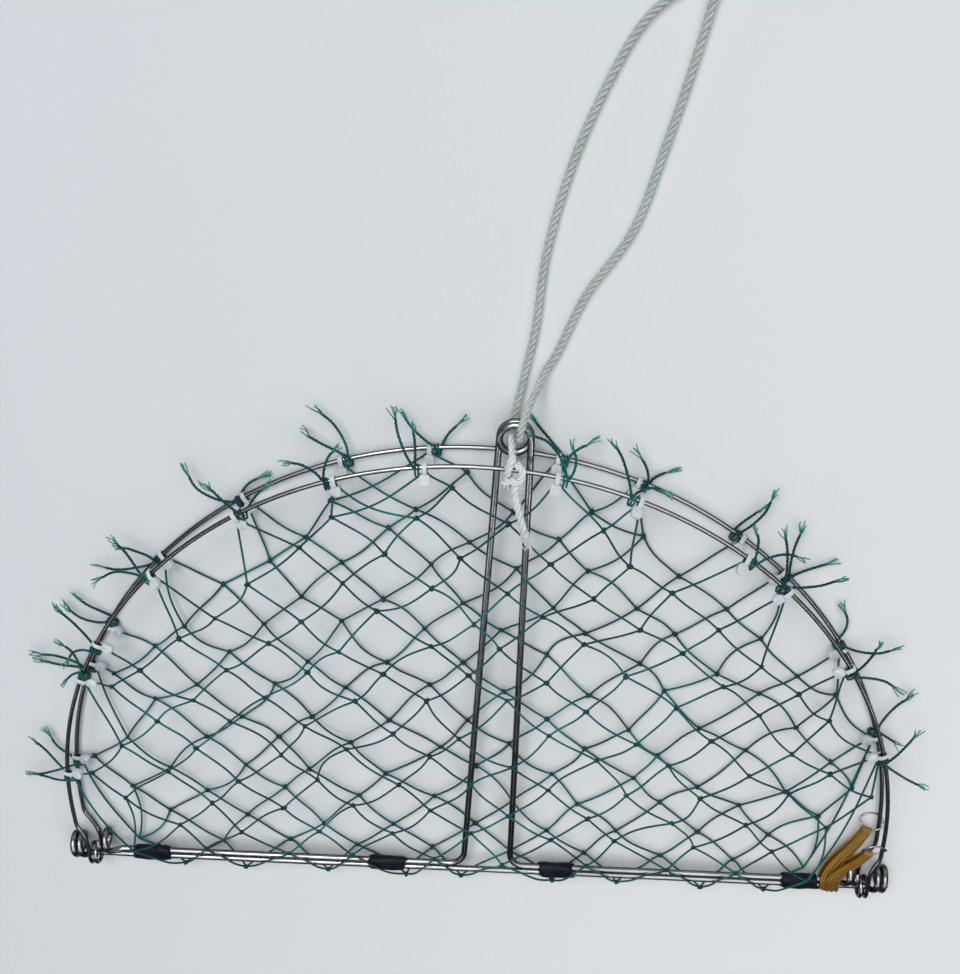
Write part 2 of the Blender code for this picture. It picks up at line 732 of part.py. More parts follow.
def build():
    clear_scene()
    steel = material("stainless_wire", (0.42, 0.43, 0.44), 0.22, 1.0)
    dark = material("sleeve_rubber", (0.008, 0.010, 0.020), 0.42)
    twine = material("net_twine", (0.0, 0.10, 0.075), 0.55)
    nylon = material("tie_nylon", (0.70, 0.76, 0.77), 0.35)
    rubber = material("band_rubber", (0.42, 0.20, 0.015), 0.35)
    cord = material("rope_fibre", (0.50, 0.56, 0.54), 0.6)

    rear = pivot("rear_hoop_axis", 0.0)
    frame = pivot("post_axis", POST_REST)
    front = pivot("front_hoop_axis", FRONT_REST)

    tube("base_bar", base_bar_points(), HEAVY_WIRE, steel, frame)
    tube("post_frame", post_points(), HEAVY_WIRE, steel, frame)
    sleeve = sleeve_mesh()
    for k, x in enumerate(SLEEVE_X, 1):
        place(f"bar_sleeve_{k}", sleeve.copy(), dark, frame).location = (x, LEG_Y / 2, 0.0)

    tie = tie_mesh()
    net = net_mesh()
    angles = tie_angles()
    hoops = (
        ("front", front, 1, FRONT_EYE_X, FRONT_RING_Y, FRONT_BAND_X),
        ("rear", rear, -1, REAR_EYE_X, REAR_RING_Y, REAR_BAND_X),
    )
    for name, body, side, eye_x, ring_y, band_x in hoops:
        tube(f"hoop_{name}", hoop_points(eye_x, side), HOOP_WIRE, steel, body)
        panel = place(f"net_{name}", net.copy(), twine, body)
        panel.location = (0.0, 0.0, side * HOOP_EYE_RADIUS)
        for k, angle in enumerate(angles, 1):
            strap = place(f"tie_{name}_{k:02d}", tie.copy(), nylon, body)
            strap.location = hoop_arc(angle) + Vector((0.0, 0.0, side * HOOP_EYE_RADIUS))
            flip = Matrix.Rotation(math.pi, 3, "Y") if side > 0 else Matrix.Identity(3)
            strap.rotation_euler = (Matrix.Rotation(-angle, 3, "Z") @ flip).to_euler()
        tube(f"band_ring_{name}", ring_points(ring_y, side), RING_WIRE, steel, body, 6, True)
        for k in range(3):
            route = band_points(ring_y, side, band_x, (k - 1) * BAND_PITCH)
            tube(f"band_{name}_{k + 1}", route, BAND, rubber, body, 6, True)

    eye_x = post_place(0.0, EYE_Y).x
    left_x = eye_x - STRAND_APART
    right_x = eye_x + STRAND_APART
    front_angle = math.asin(left_x / HOOP_RADIUS)
    rear_angle = math.asin(right_x / HOOP_RADIUS)
    front_wire = to_world(hoop_arc(front_angle) + Vector((0.0, 0.0, HOOP_EYE_RADIUS)), FRONT_REST)
    rear_wire = to_world(hoop_arc(rear_angle) - Vector((0.0, 0.0, HOOP_EYE_RADIUS)), 0.0)
    front_turn = Matrix.Rotation(FRONT_REST, 3, "X") @ Matrix.Rotation(-front_angle, 3, "Z")
    rear_turn = Matrix.Rotation(-rear_angle, 3, "Z")
    front_knot = front_wire + FRONT_KNOT_OFF
    rear_knot = rear_wire + REAR_KNOT_OFF
    knot("rope_knot_front", front_knot, FRONT_KNOT_HALF, cord, front, front_wire, front_turn)
    knot("rope_knot_rear", rear_knot, REAR_KNOT_HALF, cord, rear, rear_wire, rear_turn)

    tail_start = front_knot + TAIL_OFF
    tail = [tail_start] + [tail_start + reach for reach in TAIL_REACH]
    ride(tube("rope_tail_front", smooth_route(tail, LEAD_STEP), TAIL_RADIUS, cord), front)

    front_lead = [(left_x + x, y, z) for x, y, z in FRONT_LEAD]
    rear_lead = [(right_x + x, y, z) for x, y, z in REAR_LEAD]
    ride(tube("rope_lead_front", smooth_route(front_lead, LEAD_STEP), ROPE, cord), frame)
    ride(tube("rope_lead_rear", smooth_route(rear_lead, LEAD_STEP), ROPE, cord), frame)

    left_line = carry_on(front_lead) + [(x, y, ROPE_FLOOR_Z) for x, y in FRONT_LINE] + [FRONT_LINE_END]
    right_line = carry_on(rear_lead) + [(x, y, ROPE_FLOOR_Z) for x, y in REAR_LINE] + [REAR_LINE_END]
    coil_x = ROPE_COIL_CENTRE.x - COIL_OUTER
    main_end = (coil_x, ROPE_COIL_CENTRE.y - 2 * ROPE - GAP, ROPE_FLOOR_Z)
    main_line = [MAIN_START, MAIN_BEND, (coil_x, MAIN_COIL_Y, ROPE_FLOOR_Z), main_end]
    lines = (("rope_line_front", left_line), ("rope_line_rear", right_line), ("rope_main", main_line))
    for name, route in lines:
        points = smooth_route(route, ROPE_STEP)
        ride(tube(name, points, ROPE, cord), rear)
        print(f"{name} length {route_length(points):.4f}")
    knot("rope_join_knot", JOIN_KNOT, JOIN_KNOT_HALF, cord, rear)
    winding = coil_points()
    ride(tube("rope_coil", winding, ROPE, cord, sides=6), rear)
    print(f"rope_coil length {route_length(winding):.4f}, least gap {least_gap(winding, ROPE) * 1000:.2f} mm")


build()
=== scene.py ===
"""Folding crab trap, closed and lying flat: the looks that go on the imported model."""
import math
import random

import bmesh
import bpy
import numpy as np
from mathutils import Euler, Matrix, Vector, geometry


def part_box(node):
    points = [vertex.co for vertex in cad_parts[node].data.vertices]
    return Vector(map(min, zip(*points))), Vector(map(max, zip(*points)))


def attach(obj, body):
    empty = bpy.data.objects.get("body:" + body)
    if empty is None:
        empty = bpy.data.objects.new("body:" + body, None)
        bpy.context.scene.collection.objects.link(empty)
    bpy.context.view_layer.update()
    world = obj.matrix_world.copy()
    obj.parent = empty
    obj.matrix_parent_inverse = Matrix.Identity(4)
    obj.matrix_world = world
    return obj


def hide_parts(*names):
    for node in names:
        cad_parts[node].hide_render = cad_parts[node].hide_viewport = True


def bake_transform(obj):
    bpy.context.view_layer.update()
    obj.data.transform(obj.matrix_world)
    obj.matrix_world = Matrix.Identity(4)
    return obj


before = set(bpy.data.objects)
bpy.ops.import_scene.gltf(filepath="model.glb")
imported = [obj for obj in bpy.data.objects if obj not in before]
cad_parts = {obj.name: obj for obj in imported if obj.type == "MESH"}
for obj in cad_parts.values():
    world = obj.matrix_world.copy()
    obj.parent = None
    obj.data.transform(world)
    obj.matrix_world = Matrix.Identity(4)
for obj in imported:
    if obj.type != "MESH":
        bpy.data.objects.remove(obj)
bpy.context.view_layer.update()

# Sizes in metres. In the axes of a hoop or of the post, x runs along the bar, y away from it and z off
# the flat. These axes start at HINGE and are turned about the bar by LEAN.
HINGE = Vector((0.0, -0.1386, 0.00795))
LEAN = {"rear_hoop": 0.0, "post_unit": 0.02, "front_hoop": 0.04}
SIDE = {"rear_hoop": -1, "front_hoop": 1}
HOOPS = (("front_hoop", "front"), ("rear_hoop", "rear"))
HEAVY_WIRE = 0.00175
HOOP_WIRE = 0.00115
RING_WIRE = 0.0005
RING_LONG, RING_SHORT, RING_IN = 0.0061, 0.0046, 0.0041
RING_Y = {"front": 0.033, "rear": 0.042}
HOOP_RADIUS = 0.228
HOOP_RISE = math.sqrt(HOOP_RADIUS ** 2 - 0.225 ** 2)
HOOP_EYE = 0.0056
HOOP_FOOT_Y = 0.026
WOUND_RADIUS = 0.0062
WOUND_PITCH = 0.0038
LEG_Y = 0.0038
POST_X = 0.009
POST_LEAN = math.radians(3.3)
POST_FOOT = 0.0132
POST_BEND = 0.0085
EYE_Y = 0.275
EYE_RADIUS = 0.0076
EYE_TURNS = 1.5
EYE_RISE = 0.004

# Net: its edge on the hoop, its two corners by the hinges with the straight edges up from them, its diamonds,
# and its lowest knots, which hang below the bar.
NET_RADIUS = HOOP_RADIUS - 0.0022
NET_CORNERS = ((-0.197, 0.007), (0.190, 0.007))
CORNER_Z = 0.0052
NET_FEET = tuple(
    (side, corner, (side * math.sqrt(NET_RADIUS ** 2 - (arc_y - HOOP_RISE) ** 2), arc_y))
    for side, corner, arc_y in zip((-1, 1), NET_CORNERS, (0.038, 0.060))
)
DIAMOND = (0.043, 0.037)
FOLD_Y = -0.0060
FOLD_OFF = (
    (0.003, 0.0008), (-0.004, -0.0004), (0.002, 0.0004), (0.005, -0.0005), (-0.006, 0.0003),
    (0.004, -0.0003), (-0.002, 0.0007), (0.003, -0.0005), (-0.004, 0.0002),
)
NET_SEED = {"front": 11, "rear": 23}
TWINE = 0.00056
KNOT = 0.00125

# Rope: half its thickness, the length of one turn of its lay, how far left and right of the eye's middle it
# passes, its height where it lies on the floor, the knot where its strands join, and the coil.
ROPE = 0.0020
ROPE_LAY = 0.0108
IN_EYE = 0.0023
ON_FLOOR = ROPE + 0.00005
JOIN = Vector((0.107, 0.341, 0.0052))
COIL_CENTRE = Vector((0.148, 0.385, ON_FLOOR))
COIL_OUTER = 0.036
COIL_STEP = 0.0045
COIL_LOOPS = 5
LOOP_POINTS = 24

# The knots' turns in millimetres, round the join and round the hoop's wire.
JOIN_TURNS = (
    (-2.0, -7.2, -0.8), (-2.6, -4.0, 0.6), (-3.2, -0.8, 2.6), (-1.2, 2.4, 3.6), (2.2, 2.0, 2.4),
    (4.2, -0.4, 0.2), (3.0, -3.0, -1.6), (-0.6, -3.0, -1.4), (-4.2, -1.4, -0.6), (-4.4, 1.8, 1.0),
    (-1.4, 0.2, 3.4), (2.0, -2.2, 2.8), (3.6, -0.6, 0.8), (1.8, 3.8, -0.8), (0.8, 6.6, -1.2),
)
HOOP_TURNS = (
    (-0.2, 8.6, 3.2), (-1.4, 5.0, 4.6), (-2.5, 1.0, 3.8), (-2.8, -2.4, 1.6), (-2.4, -3.2, -1.6),
    (-1.8, -0.2, -3.1), (-1.0, 3.1, -1.4), (0.6, 3.9, 2.0), (2.9, 2.4, 4.2), (3.5, -1.2, 4.6),
    (1.4, -3.8, 5.4), (-2.2, -3.2, 5.8), (-3.8, -5.0, 3.6), (-2.2, -7.6, 2.0), (1.2, -7.8, 2.2),
    (3.2, -5.6, 3.4), (1.8, -4.4, 5.2), (0.4, -7.0, 5.6), (0.6, -10.6, 4.8),
)

# The loose end of the rope, in metres from the front knot's last point.
TAIL = ((0.0, 0.0, 0.0), (0.0014, -0.0070, 0.0016), (0.0034, -0.0150, 0.0020), (0.0052, -0.0215, 0.0016))

# Sleeves on the bar: their middles, their length, and how far some of them are torn.
SLEEVES = (-0.188, -0.049, 0.049, 0.187)
SLEEVE_LONG = 0.0204
TEARS = {1: 0.0030, 3: 0.0008, 4: 0.0005}

# The camera fitted to the photo: focal length and picture height in pixels, sensor in millimetres.
FOCAL_PIXELS, PICTURE_PIXELS, SENSOR = 1200, 974, 36
CAMERA_PLACE = (0.0459, 0.3639, 0.5361)
CAMERA_RIGHT = Vector((0.99755, -0.00756, -0.06951))
CAMERA_UP = Vector((-0.02351, 0.90001, -0.43523))

# Name, place, size, power and colour of each lamp.
LAMPS = (
    ("key", (-0.50, 1.10, 1.35), (0.7, 0.7), 8.6, (1.0, 0.99, 0.98)),
    ("left", (-1.2, -0.85, 1.3), (0.2, 1.0), 3.45, (0.94, 0.97, 1.0)),
    ("right", (1.1, -0.75, 1.2), (0.15, 0.9), 3.6, (0.97, 0.98, 1.0)),
)
FLOOR_REACH = 6.0
# The floor's colour where painted shade darkens it towards the left and the back, and its plain pale colour.
FLOOR_PAINTED_SHADE, FLOOR_PALE = (0.665, 0.705, 0.735), (0.865, 0.872, 0.875)
ROOM_DARK, ROOM_STRIP = (0.022, 0.026, 0.036), (0.60, 0.62, 0.66)
ROOM_CEILING, ROOM_LOW = (1.30, 1.33, 1.35), (0.58, 0.62, 0.65)
CEILING_WAY = (0.10, 0.34, 0.93)

# Each finish: two colours for its lines, one for its patches, its range of roughness, and what else
# material() takes.
FINISHES = {
    # The wire's edge colour is painted shade: the steel turns nearly black towards its edges, where it turns
    # away from view, standing in for the dark it would mirror there.
    "stainless_wire": dict(
        dark=(0.42, 0.42, 0.415), light=(0.62, 0.62, 0.61), patch=(0.34, 0.335, 0.325), rough=(0.23, 0.29),
        fine=1.5, stretch=12.0, patches=45.0, edge=(0.022, 0.024, 0.034), Metallic=1.0,
    ),
    "net_twine": dict(
        dark=(0.0, 0.022, 0.030), light=(0.0, 0.105, 0.094), patch=(0.001, 0.200, 0.165), rough=(0.32, 0.5),
        turns=260.0, fine=2.0, stretch=500.0, patches=28.0, ridge=0.5, line=0.4, pit=0.1, depth=0.00025,
        tip=(0.05, 0.36, 0.29), Specular_IOR_Level=0.3,
    ),
    "net_knot": dict(
        dark=(0.0, 0.014, 0.019), light=(0.0, 0.050, 0.047), patch=(0.0, 0.095, 0.082), rough=(0.35, 0.5),
        patches=40.0, grain=1800.0, pit=0.6, depth=0.0003, Specular_IOR_Level=0.3,
    ),
    "rope_fibre": dict(
        dark=(0.40, 0.46, 0.44), light=(0.66, 0.71, 0.69), patch=(0.56, 0.62, 0.60), rough=(0.45, 0.7),
        turns=55.0, fine=5.0, stretch=60.0, line=0.9, pit=0.1, depth=0.0003,
        Subsurface_Weight=0.15, Subsurface_Scale=0.002,
    ),
    "knot_fibre": dict(
        dark=(0.66, 0.70, 0.71), light=(0.93, 0.94, 0.95), patch=(0.85, 0.88, 0.89), rough=(0.35, 0.6),
        turns=60.0, fine=5.0, stretch=60.0, line=0.9, pit=0.1, depth=0.0003,
        Subsurface_Weight=0.2, Subsurface_Scale=0.002,
    ),
    "tie_nylon": dict(
        dark=(0.56, 0.62, 0.63), light=(0.68, 0.73, 0.735), patch=(0.76, 0.79, 0.79), rough=(0.22, 0.40),
        patches=260.0, grain=900.0, pit=0.3, depth=0.0001, Subsurface_Weight=0.45, Subsurface_Scale=0.002,
    ),
    "sleeve_rubber": dict(
        dark=(0.0015, 0.002, 0.007), light=(0.003, 0.004, 0.013), patch=(0.007, 0.009, 0.020),
        rough=(0.40, 0.55), patches=220.0, grain=1500.0, pit=0.4, depth=0.00012, Specular_IOR_Level=0.22,
    ),
    # The band's streaks run from painted shade lines to painted highlights over the latex's own uneven tone,
    # and its edge colour is painted shade where the ribbons meet.
    "band_rubber": dict(
        dark=(0.10, 0.040, 0.001), light=(0.72, 0.400, 0.010), patch=(0.38, 0.180, 0.004), rough=(0.14, 0.30),
        fine=2.6, stretch=16.0, patches=140.0, line=0.35, depth=0.0004, edge=(0.17, 0.070, 0.002),
        Subsurface_Weight=0.15, Subsurface_Scale=0.001, Coat_Weight=0.5, Coat_Roughness=0.12,
    ),
}


# Objects and node trees
def linked(name, data):
    made = bpy.data.objects.new(name, data)
    bpy.context.scene.collection.objects.link(made)
    return made


def from_bmesh(name, bm, look=None):
    """The finished bmesh as an object, smooth and dressed if it has a look."""
    mesh = bpy.data.meshes.new(name)
    bm.to_mesh(mesh)
    bm.free()
    if look:
        mesh.shade_smooth()
        mesh.materials.append(look)
    return linked(name, mesh)


def node(tree, kind, inputs=None, out=0, **settings):
    """One output of a new node with these settings, its inputs joined to sockets or set to values."""
    made = tree.nodes.new(kind)
    for key, value in settings.items():
        setattr(made, key, value)
    for key, value in (inputs or {}).items():
        if isinstance(value, bpy.types.NodeSocket):
            tree.links.new(value, made.inputs[key])
        else:
            made.inputs[key].default_value = value
    return made.outputs[out]


def new_group(kind, name, gives, **takes):
    """A node group: its tree, what it is given and what it gives. A word in takes is a kind of socket."""
    tree = bpy.data.node_groups.new(name, kind)
    for label, value in takes.items():
        plain = {int: "Int", float: "Float"}.get(type(value))
        made = tree.interface.new_socket(label, in_out="INPUT", socket_type=f"NodeSocket{plain or value}")
        if plain:
            made.default_value = value
    result = "NodeSocketGeometry" if kind == "GeometryNodeTree" else "NodeSocketFloat"
    for label in gives:
        tree.interface.new_socket(label, in_out="OUTPUT", socket_type=result)
    return tree, tree.nodes.new("NodeGroupInput").outputs, tree.nodes.new("NodeGroupOutput").inputs


def maths(tree, operation, a, b=0.0):
    return node(tree, "ShaderNodeMath", {0: a, 1: b}, operation=operation)


def spread_out(tree, value, low, high, to_low=0.0, to_high=1.0):
    inputs = {"Value": value, "From Min": low, "From Max": high, "To Min": to_low, "To Max": to_high}
    return node(tree, "ShaderNodeMapRange", inputs)


def blended(tree, factor, a, b):
    """The mix of two colours, each a socket or a plain colour."""
    mix = node(tree, "ShaderNodeMix", {"Factor": factor}, 2, data_type="RGBA")
    for k, colour in ((6, a), (7, b)):
        if isinstance(colour, bpy.types.NodeSocket):
            tree.links.new(colour, mix.node.inputs[k])
        else:
            mix.node.inputs[k].default_value = (*colour, 1.0)
    return mix


def split(tree, vector):
    return node(tree, "ShaderNodeSeparateXYZ", {0: vector}).node.outputs


# Shapes that follow a route or repeat, in Geometry Nodes
def end_tree(tree, shape, look, out):
    real = node(tree, "GeometryNodeRealizeInstances", {"Geometry": shape})
    smooth = node(tree, "GeometryNodeSetShadeSmooth", {"Geometry": real})
    dressed = node(tree, "GeometryNodeSetMaterial", {"Geometry": smooth, "Material": look})
    tree.links.new(dressed, out[0])


def remember(tree, shape, label, value, kind="FLOAT"):
    inputs = {"Geometry": shape, "Name": label, "Value": value}
    return node(tree, "GeometryNodeStoreNamedAttribute", inputs, data_type=kind)


def rail_and_ring(tree, given, radius):
    """The routes and their length, kept for the material, and a ring that keeps its outward way."""
    along = node(tree, "GeometryNodeSplineParameter", out="Length")
    rail = remember(tree, given["Routes"], "along", along)
    size = {"Resolution": given["Sides"], "Radius": given[radius]}
    ring = node(tree, "GeometryNodeCurvePrimitiveCircle", size, out="Curve")
    place = node(tree, "GeometryNodeInputPosition")
    way = node(tree, "ShaderNodeVectorMath", {0: place}, operation="NORMALIZE")
    return along, rail, remember(tree, ring, "around", way, "FLOAT_VECTOR")


def sweep(tree, rail, profile, look, out):
    thick = node(tree, "GeometryNodeInputRadius")
    inputs = {"Curve": rail, "Profile Curve": profile, "Scale": thick, "Fill Caps": True}
    end_tree(tree, node(tree, "GeometryNodeCurveToMesh", inputs), look, out)


def wire_tree():
    """A round wire or twine along each route. From Fade on, how near the tip it is, is kept too."""
    tree, given, out = new_group("GeometryNodeTree", "wire along a route", ["Wire"], Routes="Geometry",
                                 Radius=0.001, Sides=16, Fade=1.0, Look="Material")
    along, rail, ring = rail_and_ring(tree, given, "Radius")
    part = node(tree, "GeometryNodeSplineParameter", out="Factor")
    rail = remember(tree, rail, "tip", spread_out(tree, part, given["Fade"], 1.0))
    sweep(tree, rail, ring, given["Look"], out)
    return tree


def rope_tree():
    """Laid rope: round strands side by side, turned along the route."""
    tree, given, out = new_group("GeometryNodeTree", "laid rope along a route", ["Rope"], Routes="Geometry",
                                 Strand=0.001, Spread=0.001, Strands=3, Lay=0.012, Sides=8, Look="Material")
    along, rail, strand = rail_and_ring(tree, given, "Strand")
    turns = maths(tree, "DIVIDE", along, given["Lay"])
    tilt = {"Curve": rail, "Tilt": maths(tree, "MULTIPLY", turns, math.tau)}
    rail = node(tree, "GeometryNodeSetCurveTilt", tilt)
    circle = {"Vertices": given["Strands"], "Radius": given["Spread"]}
    centres = node(tree, "GeometryNodeMeshCircle", circle)
    bundle = node(tree, "GeometryNodeInstanceOnPoints", {"Points": centres, "Instance": strand})
    profile = node(tree, "GeometryNodeRealizeInstances", {"Geometry": bundle})
    sweep(tree, rail, profile, given["Look"], out)
    return tree


def scatter_tree():
    """One small shape at every point, turned and sized by the point's own values."""
    tree, given, out = new_group("GeometryNodeTree", "shape at each place", ["Shapes"],
                                 Places="Geometry", Shape="Object", Look="Material")
    turn, size = (
        node(tree, "GeometryNodeInputNamedAttribute", {"Name": label}, data_type=kind, out="Attribute")
        for label, kind in (("turn", "FLOAT_VECTOR"), ("size", "FLOAT"))
    )
    shape = node(tree, "GeometryNodeObjectInfo", {"Object": given["Shape"]}, out="Geometry")
    turn = node(tree, "FunctionNodeEulerToRotation", {0: turn})
    inputs = {"Points": given["Places"], "Instance": shape, "Rotation": turn, "Scale": size}
    placed = node(tree, "GeometryNodeInstanceOnPoints", inputs)
    end_tree(tree, placed, given["Look"], out)
    return tree


def bake(name, source, tree, **values):
    """The plain mesh that a tree makes of source, as a named object at the origin."""
    shape = source.modifiers.new("shape", "NODES")
    shape.node_group = tree
    for item in tree.interface.items_tree:
        if item.item_type == "SOCKET" and item.in_out == "INPUT" and item.name in values:
            shape[item.identifier] = values[item.name]
    bpy.context.view_layer.update()
    state = bpy.context.evaluated_depsgraph_get()
    ready = source.evaluated_get(state)
    mesh = bpy.data.meshes.new_from_object(ready, preserve_all_data_layers=True, depsgraph=state)
    mesh.name = name
    old = source.data
    bpy.data.objects.remove(source)
    (bpy.data.curves if isinstance(old, bpy.types.Curve) else bpy.data.meshes).remove(old)
    return linked(name, mesh)


def routes(lines, closed=False, thick=None):
    """A curve with one spline for each line of points."""
    data = bpy.data.curves.new("routes", "CURVE")
    data.dimensions = "3D"
    for line in lines:
        spline = data.splines.new("POLY")
        spline.points.add(len(line) - 1)
        spline.points.foreach_set("co", np.c_[np.array(line, float), np.ones(len(line))].ravel())
        spline.points.foreach_set("radius", thick or [1.0] * len(line))
        spline.use_cyclic_u = closed
    return linked("routes", data)


def places(points, turns, sizes):
    """A mesh of loose points with a turn and a size for each."""
    data = bpy.data.meshes.new("places")
    data.from_pydata([tuple(p) for p in points], [], [])
    turns = np.array([tuple(t) for t in turns], float).ravel()
    data.attributes.new("turn", "FLOAT_VECTOR", "POINT").data.foreach_set("vector", turns)
    data.attributes.new("size", "FLOAT", "POINT").data.foreach_set("value", sizes)
    return linked("places", data)


def piece(made, body, slot, *cad):
    """Lets a piece ride on its body, in place of its CAD nodes."""
    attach(made, body)
    if cad:
        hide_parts(*cad)


def blend_at_bar(made, body):
    """Bakes a hoop's piece into its mesh where it stands, the same for either hoop."""
    if body == "front_hoop":
        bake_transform(made)
    else:
        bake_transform(made)


# Points and turns
def smooth_route(points, step, closed=False):
    """Evenly spaced points on a smooth curve through the route's own points."""
    parts = 24
    knots = [Vector(p) for p in points]
    if closed:
        knots = [knots[-1]] + knots + knots[:2]
    else:
        knots = [2 * knots[0] - knots[1]] + knots + [2 * knots[-1] - knots[-2]]
    fine = []
    for before, start, end, after in zip(knots, knots[1:], knots[2:], knots[3:]):
        gap = end - start
        leave = (end - before) * (gap.length / ((start - before).length + gap.length))
        arrive = (after - start) * (gap.length / ((after - end).length + gap.length))
        square, cube = 3 * gap - 2 * leave - arrive, leave + arrive - 2 * gap
        for k in range(parts):
            t = k / parts
            fine.append(start + leave * t + square * t ** 2 + cube * t ** 3)
    fine.append(knots[-2])
    line = np.array(fine)
    lengths = np.r_[0.0, np.cumsum(np.linalg.norm(np.diff(line, axis=0), axis=1))]
    count = max(2, round(lengths[-1] / step))
    at = np.linspace(0.0, lengths[-1], count + 1)
    even = np.stack([np.interp(at, lengths, line[:, k]) for k in range(3)], axis=1)
    return [Vector(p) for p in (even[:-1] if closed else even)]


def hair(root, way, long, curl):
    return smooth_route([root, root + way * long * 0.5 + curl, root + way * long], 0.0015)


def mirrored(points):
    return [Vector((-p.x, p.y, p.z)) for p in reversed(points)]


def off_flat(z):
    return Vector((0.0, 0.0, z))


def spun(degrees, axis="Z"):
    return Matrix.Rotation(math.radians(degrees), 3, axis)


def shaken(chance, reach):
    return Vector([chance.uniform(-reach, reach) for _ in range(3)])


def to_world(point, body):
    return Euler((LEAN[body], 0.0, 0.0)).to_matrix() @ Vector(point) + HINGE


def to_flat(point, body):
    return Euler((-LEAN[body], 0.0, 0.0)).to_matrix() @ (Vector(point) - HINGE)


def worlds(points, body):
    return [to_world(p, body) for p in points]


def arc_angle(y):
    return math.acos((y - HOOP_RISE) / HOOP_RADIUS)


def hoop_arc(angle):
    return Vector((HOOP_RADIUS * math.sin(angle), HOOP_RISE + HOOP_RADIUS * math.cos(angle), 0.0))


def tie_names(end):
    return [f"tie_{end}_{k:02d}" for k in range(1, 14)]


def tie_angles(end, body):
    """Where each CAD tie stands on its hoop's arc."""
    angles = []
    for name in tie_names(end):
        low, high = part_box(name)
        spot = to_flat((low + high) / 2, body)
        angles.append(math.atan2(spot.x, spot.y - HOOP_RISE))
    return angles


# Materials
def streaks_group():
    """Fine lines along a wire or cord, turned round it, and the ridges of its plies."""
    tree, given, out = new_group("ShaderNodeTree", "streaks along a cord", ["Streaks", "Plies"],
                                 Turns=0.0, Fine=3.0, Stretch=40.0)
    around = node(tree, "ShaderNodeAttribute", attribute_name="around", out="Vector")
    along = node(tree, "ShaderNodeAttribute", attribute_name="along", out="Fac")
    angle = maths(tree, "MULTIPLY", maths(tree, "MULTIPLY", along, given["Turns"]), math.tau)
    turn = {"Vector": around, "Angle": angle}
    turned = node(tree, "ShaderNodeVectorRotate", turn, rotation_type="Z_AXIS")
    parts = split(tree, turned)
    fine = [maths(tree, "MULTIPLY", parts[k], given["Fine"]) for k in (0, 1)]
    long = maths(tree, "MULTIPLY", along, given["Stretch"])
    spot = node(tree, "ShaderNodeCombineXYZ", {0: fine[0], 1: fine[1], 2: long})
    lines = node(tree, "ShaderNodeTexNoise", {"Vector": spot, "Scale": 1.0, "Detail": 3.0})
    tree.links.new(lines, out["Streaks"])
    squares = [maths(tree, "MULTIPLY", parts[k], parts[k]) for k in (0, 1)]
    tree.links.new(maths(tree, "SUBTRACT", *squares), out["Plies"])


def mottle_group():
    """Slow patches and fine grain over the whole trap."""
    tree, given, out = new_group("ShaderNodeTree", "patches and grain", ["Patches", "Grains"],
                                 Patch=60.0, Grain=2500.0)
    spot = node(tree, "ShaderNodeTexCoord", out="Object")
    for label, source, detail in (("Patches", "Patch", 4.0), ("Grains", "Grain", 2.0)):
        inputs = {"Vector": spot, "Scale": given[source], "Detail": detail}
        tree.links.new(node(tree, "ShaderNodeTexNoise", inputs), out[label])


def new_material(name):
    look = bpy.data.materials.new(name)
    look.use_nodes = True
    return look, look.node_tree, look.node_tree.nodes["Principled BSDF"]


def group_in(tree, name, inputs):
    return node(tree, "ShaderNodeGroup", inputs, node_tree=bpy.data.node_groups[name]).node.outputs


def material(name, dark, light, patch, rough, turns=0.0, fine=3.0, stretch=40.0, patches=60.0, grain=2500.0,
             ridge=0.0, line=0.0, pit=0.0, depth=0.0, tip=None, edge=None, **settings):
    """A finish with lines along it, patches of a third colour, ridges and grain in its surface, and, where it
    has an edge colour, painted shade where the surface turns away from view.
    """
    look, tree, shader = new_material(name)
    lines = group_in(tree, "streaks along a cord", {"Turns": turns, "Fine": fine, "Stretch": stretch})
    marks = group_in(tree, "patches and grain", {"Patch": patches, "Grain": grain})
    colour = blended(tree, spread_out(tree, lines["Streaks"], 0.3, 0.7), dark, light)
    colour = blended(tree, spread_out(tree, marks["Patches"], 0.48, 0.72), colour, patch)
    if tip is not None:
        faded = node(tree, "ShaderNodeAttribute", attribute_name="tip", out="Fac")
        colour = blended(tree, faded, colour, tip)
    # Painted shade: the edge colour is mixed in where the surface turns away from view, darkening its edges.
    if edge is not None:
        facing = node(tree, "ShaderNodeLayerWeight", out="Facing")
        colour = blended(tree, spread_out(tree, facing, 0.02, 0.38), colour, edge)
    tree.links.new(colour, shader.inputs["Base Color"])
    tree.links.new(spread_out(tree, marks["Patches"], 0.3, 0.7, *rough), shader.inputs["Roughness"])
    if ridge or line or pit:
        height = maths(tree, "MULTIPLY", lines["Plies"], ridge)
        for mark, share in ((lines["Streaks"], line), (marks["Grains"], pit)):
            height = maths(tree, "ADD", height, maths(tree, "MULTIPLY", mark, share))
        bump = node(tree, "ShaderNodeBump", {"Height": height, "Distance": depth, "Strength": 1.0})
        tree.links.new(bump, shader.inputs["Normal"])
    for label, value in settings.items():
        shader.inputs[label.replace("_", " ")].default_value = value
    return look


# Camera, floor and light
def camera():
    lens = bpy.data.cameras.new("camera")
    lens.lens = FOCAL_PIXELS * SENSOR / PICTURE_PIXELS
    lens.clip_start = 0.01
    lens.clip_end = 20
    back = CAMERA_RIGHT.cross(CAMERA_UP).normalized()
    up = back.cross(CAMERA_RIGHT).normalized()
    turn = Matrix((CAMERA_RIGHT.normalized(), up, back)).transposed().to_4x4()
    made = linked("camera", lens)
    made.matrix_world = Matrix.Translation(CAMERA_PLACE) @ turn
    bpy.context.scene.camera = made


def lamp(name, place, size, power, colour):
    """A rectangular lamp that faces the world's origin."""
    light = bpy.data.lights.new(name, "AREA")
    light.shape = "RECTANGLE"
    light.size, light.size_y = size
    light.energy = power
    light.color = colour
    made = linked(name, light)
    made.location = place
    made.rotation_euler = (-Vector(place)).to_track_quat("-Z", "Y").to_euler()


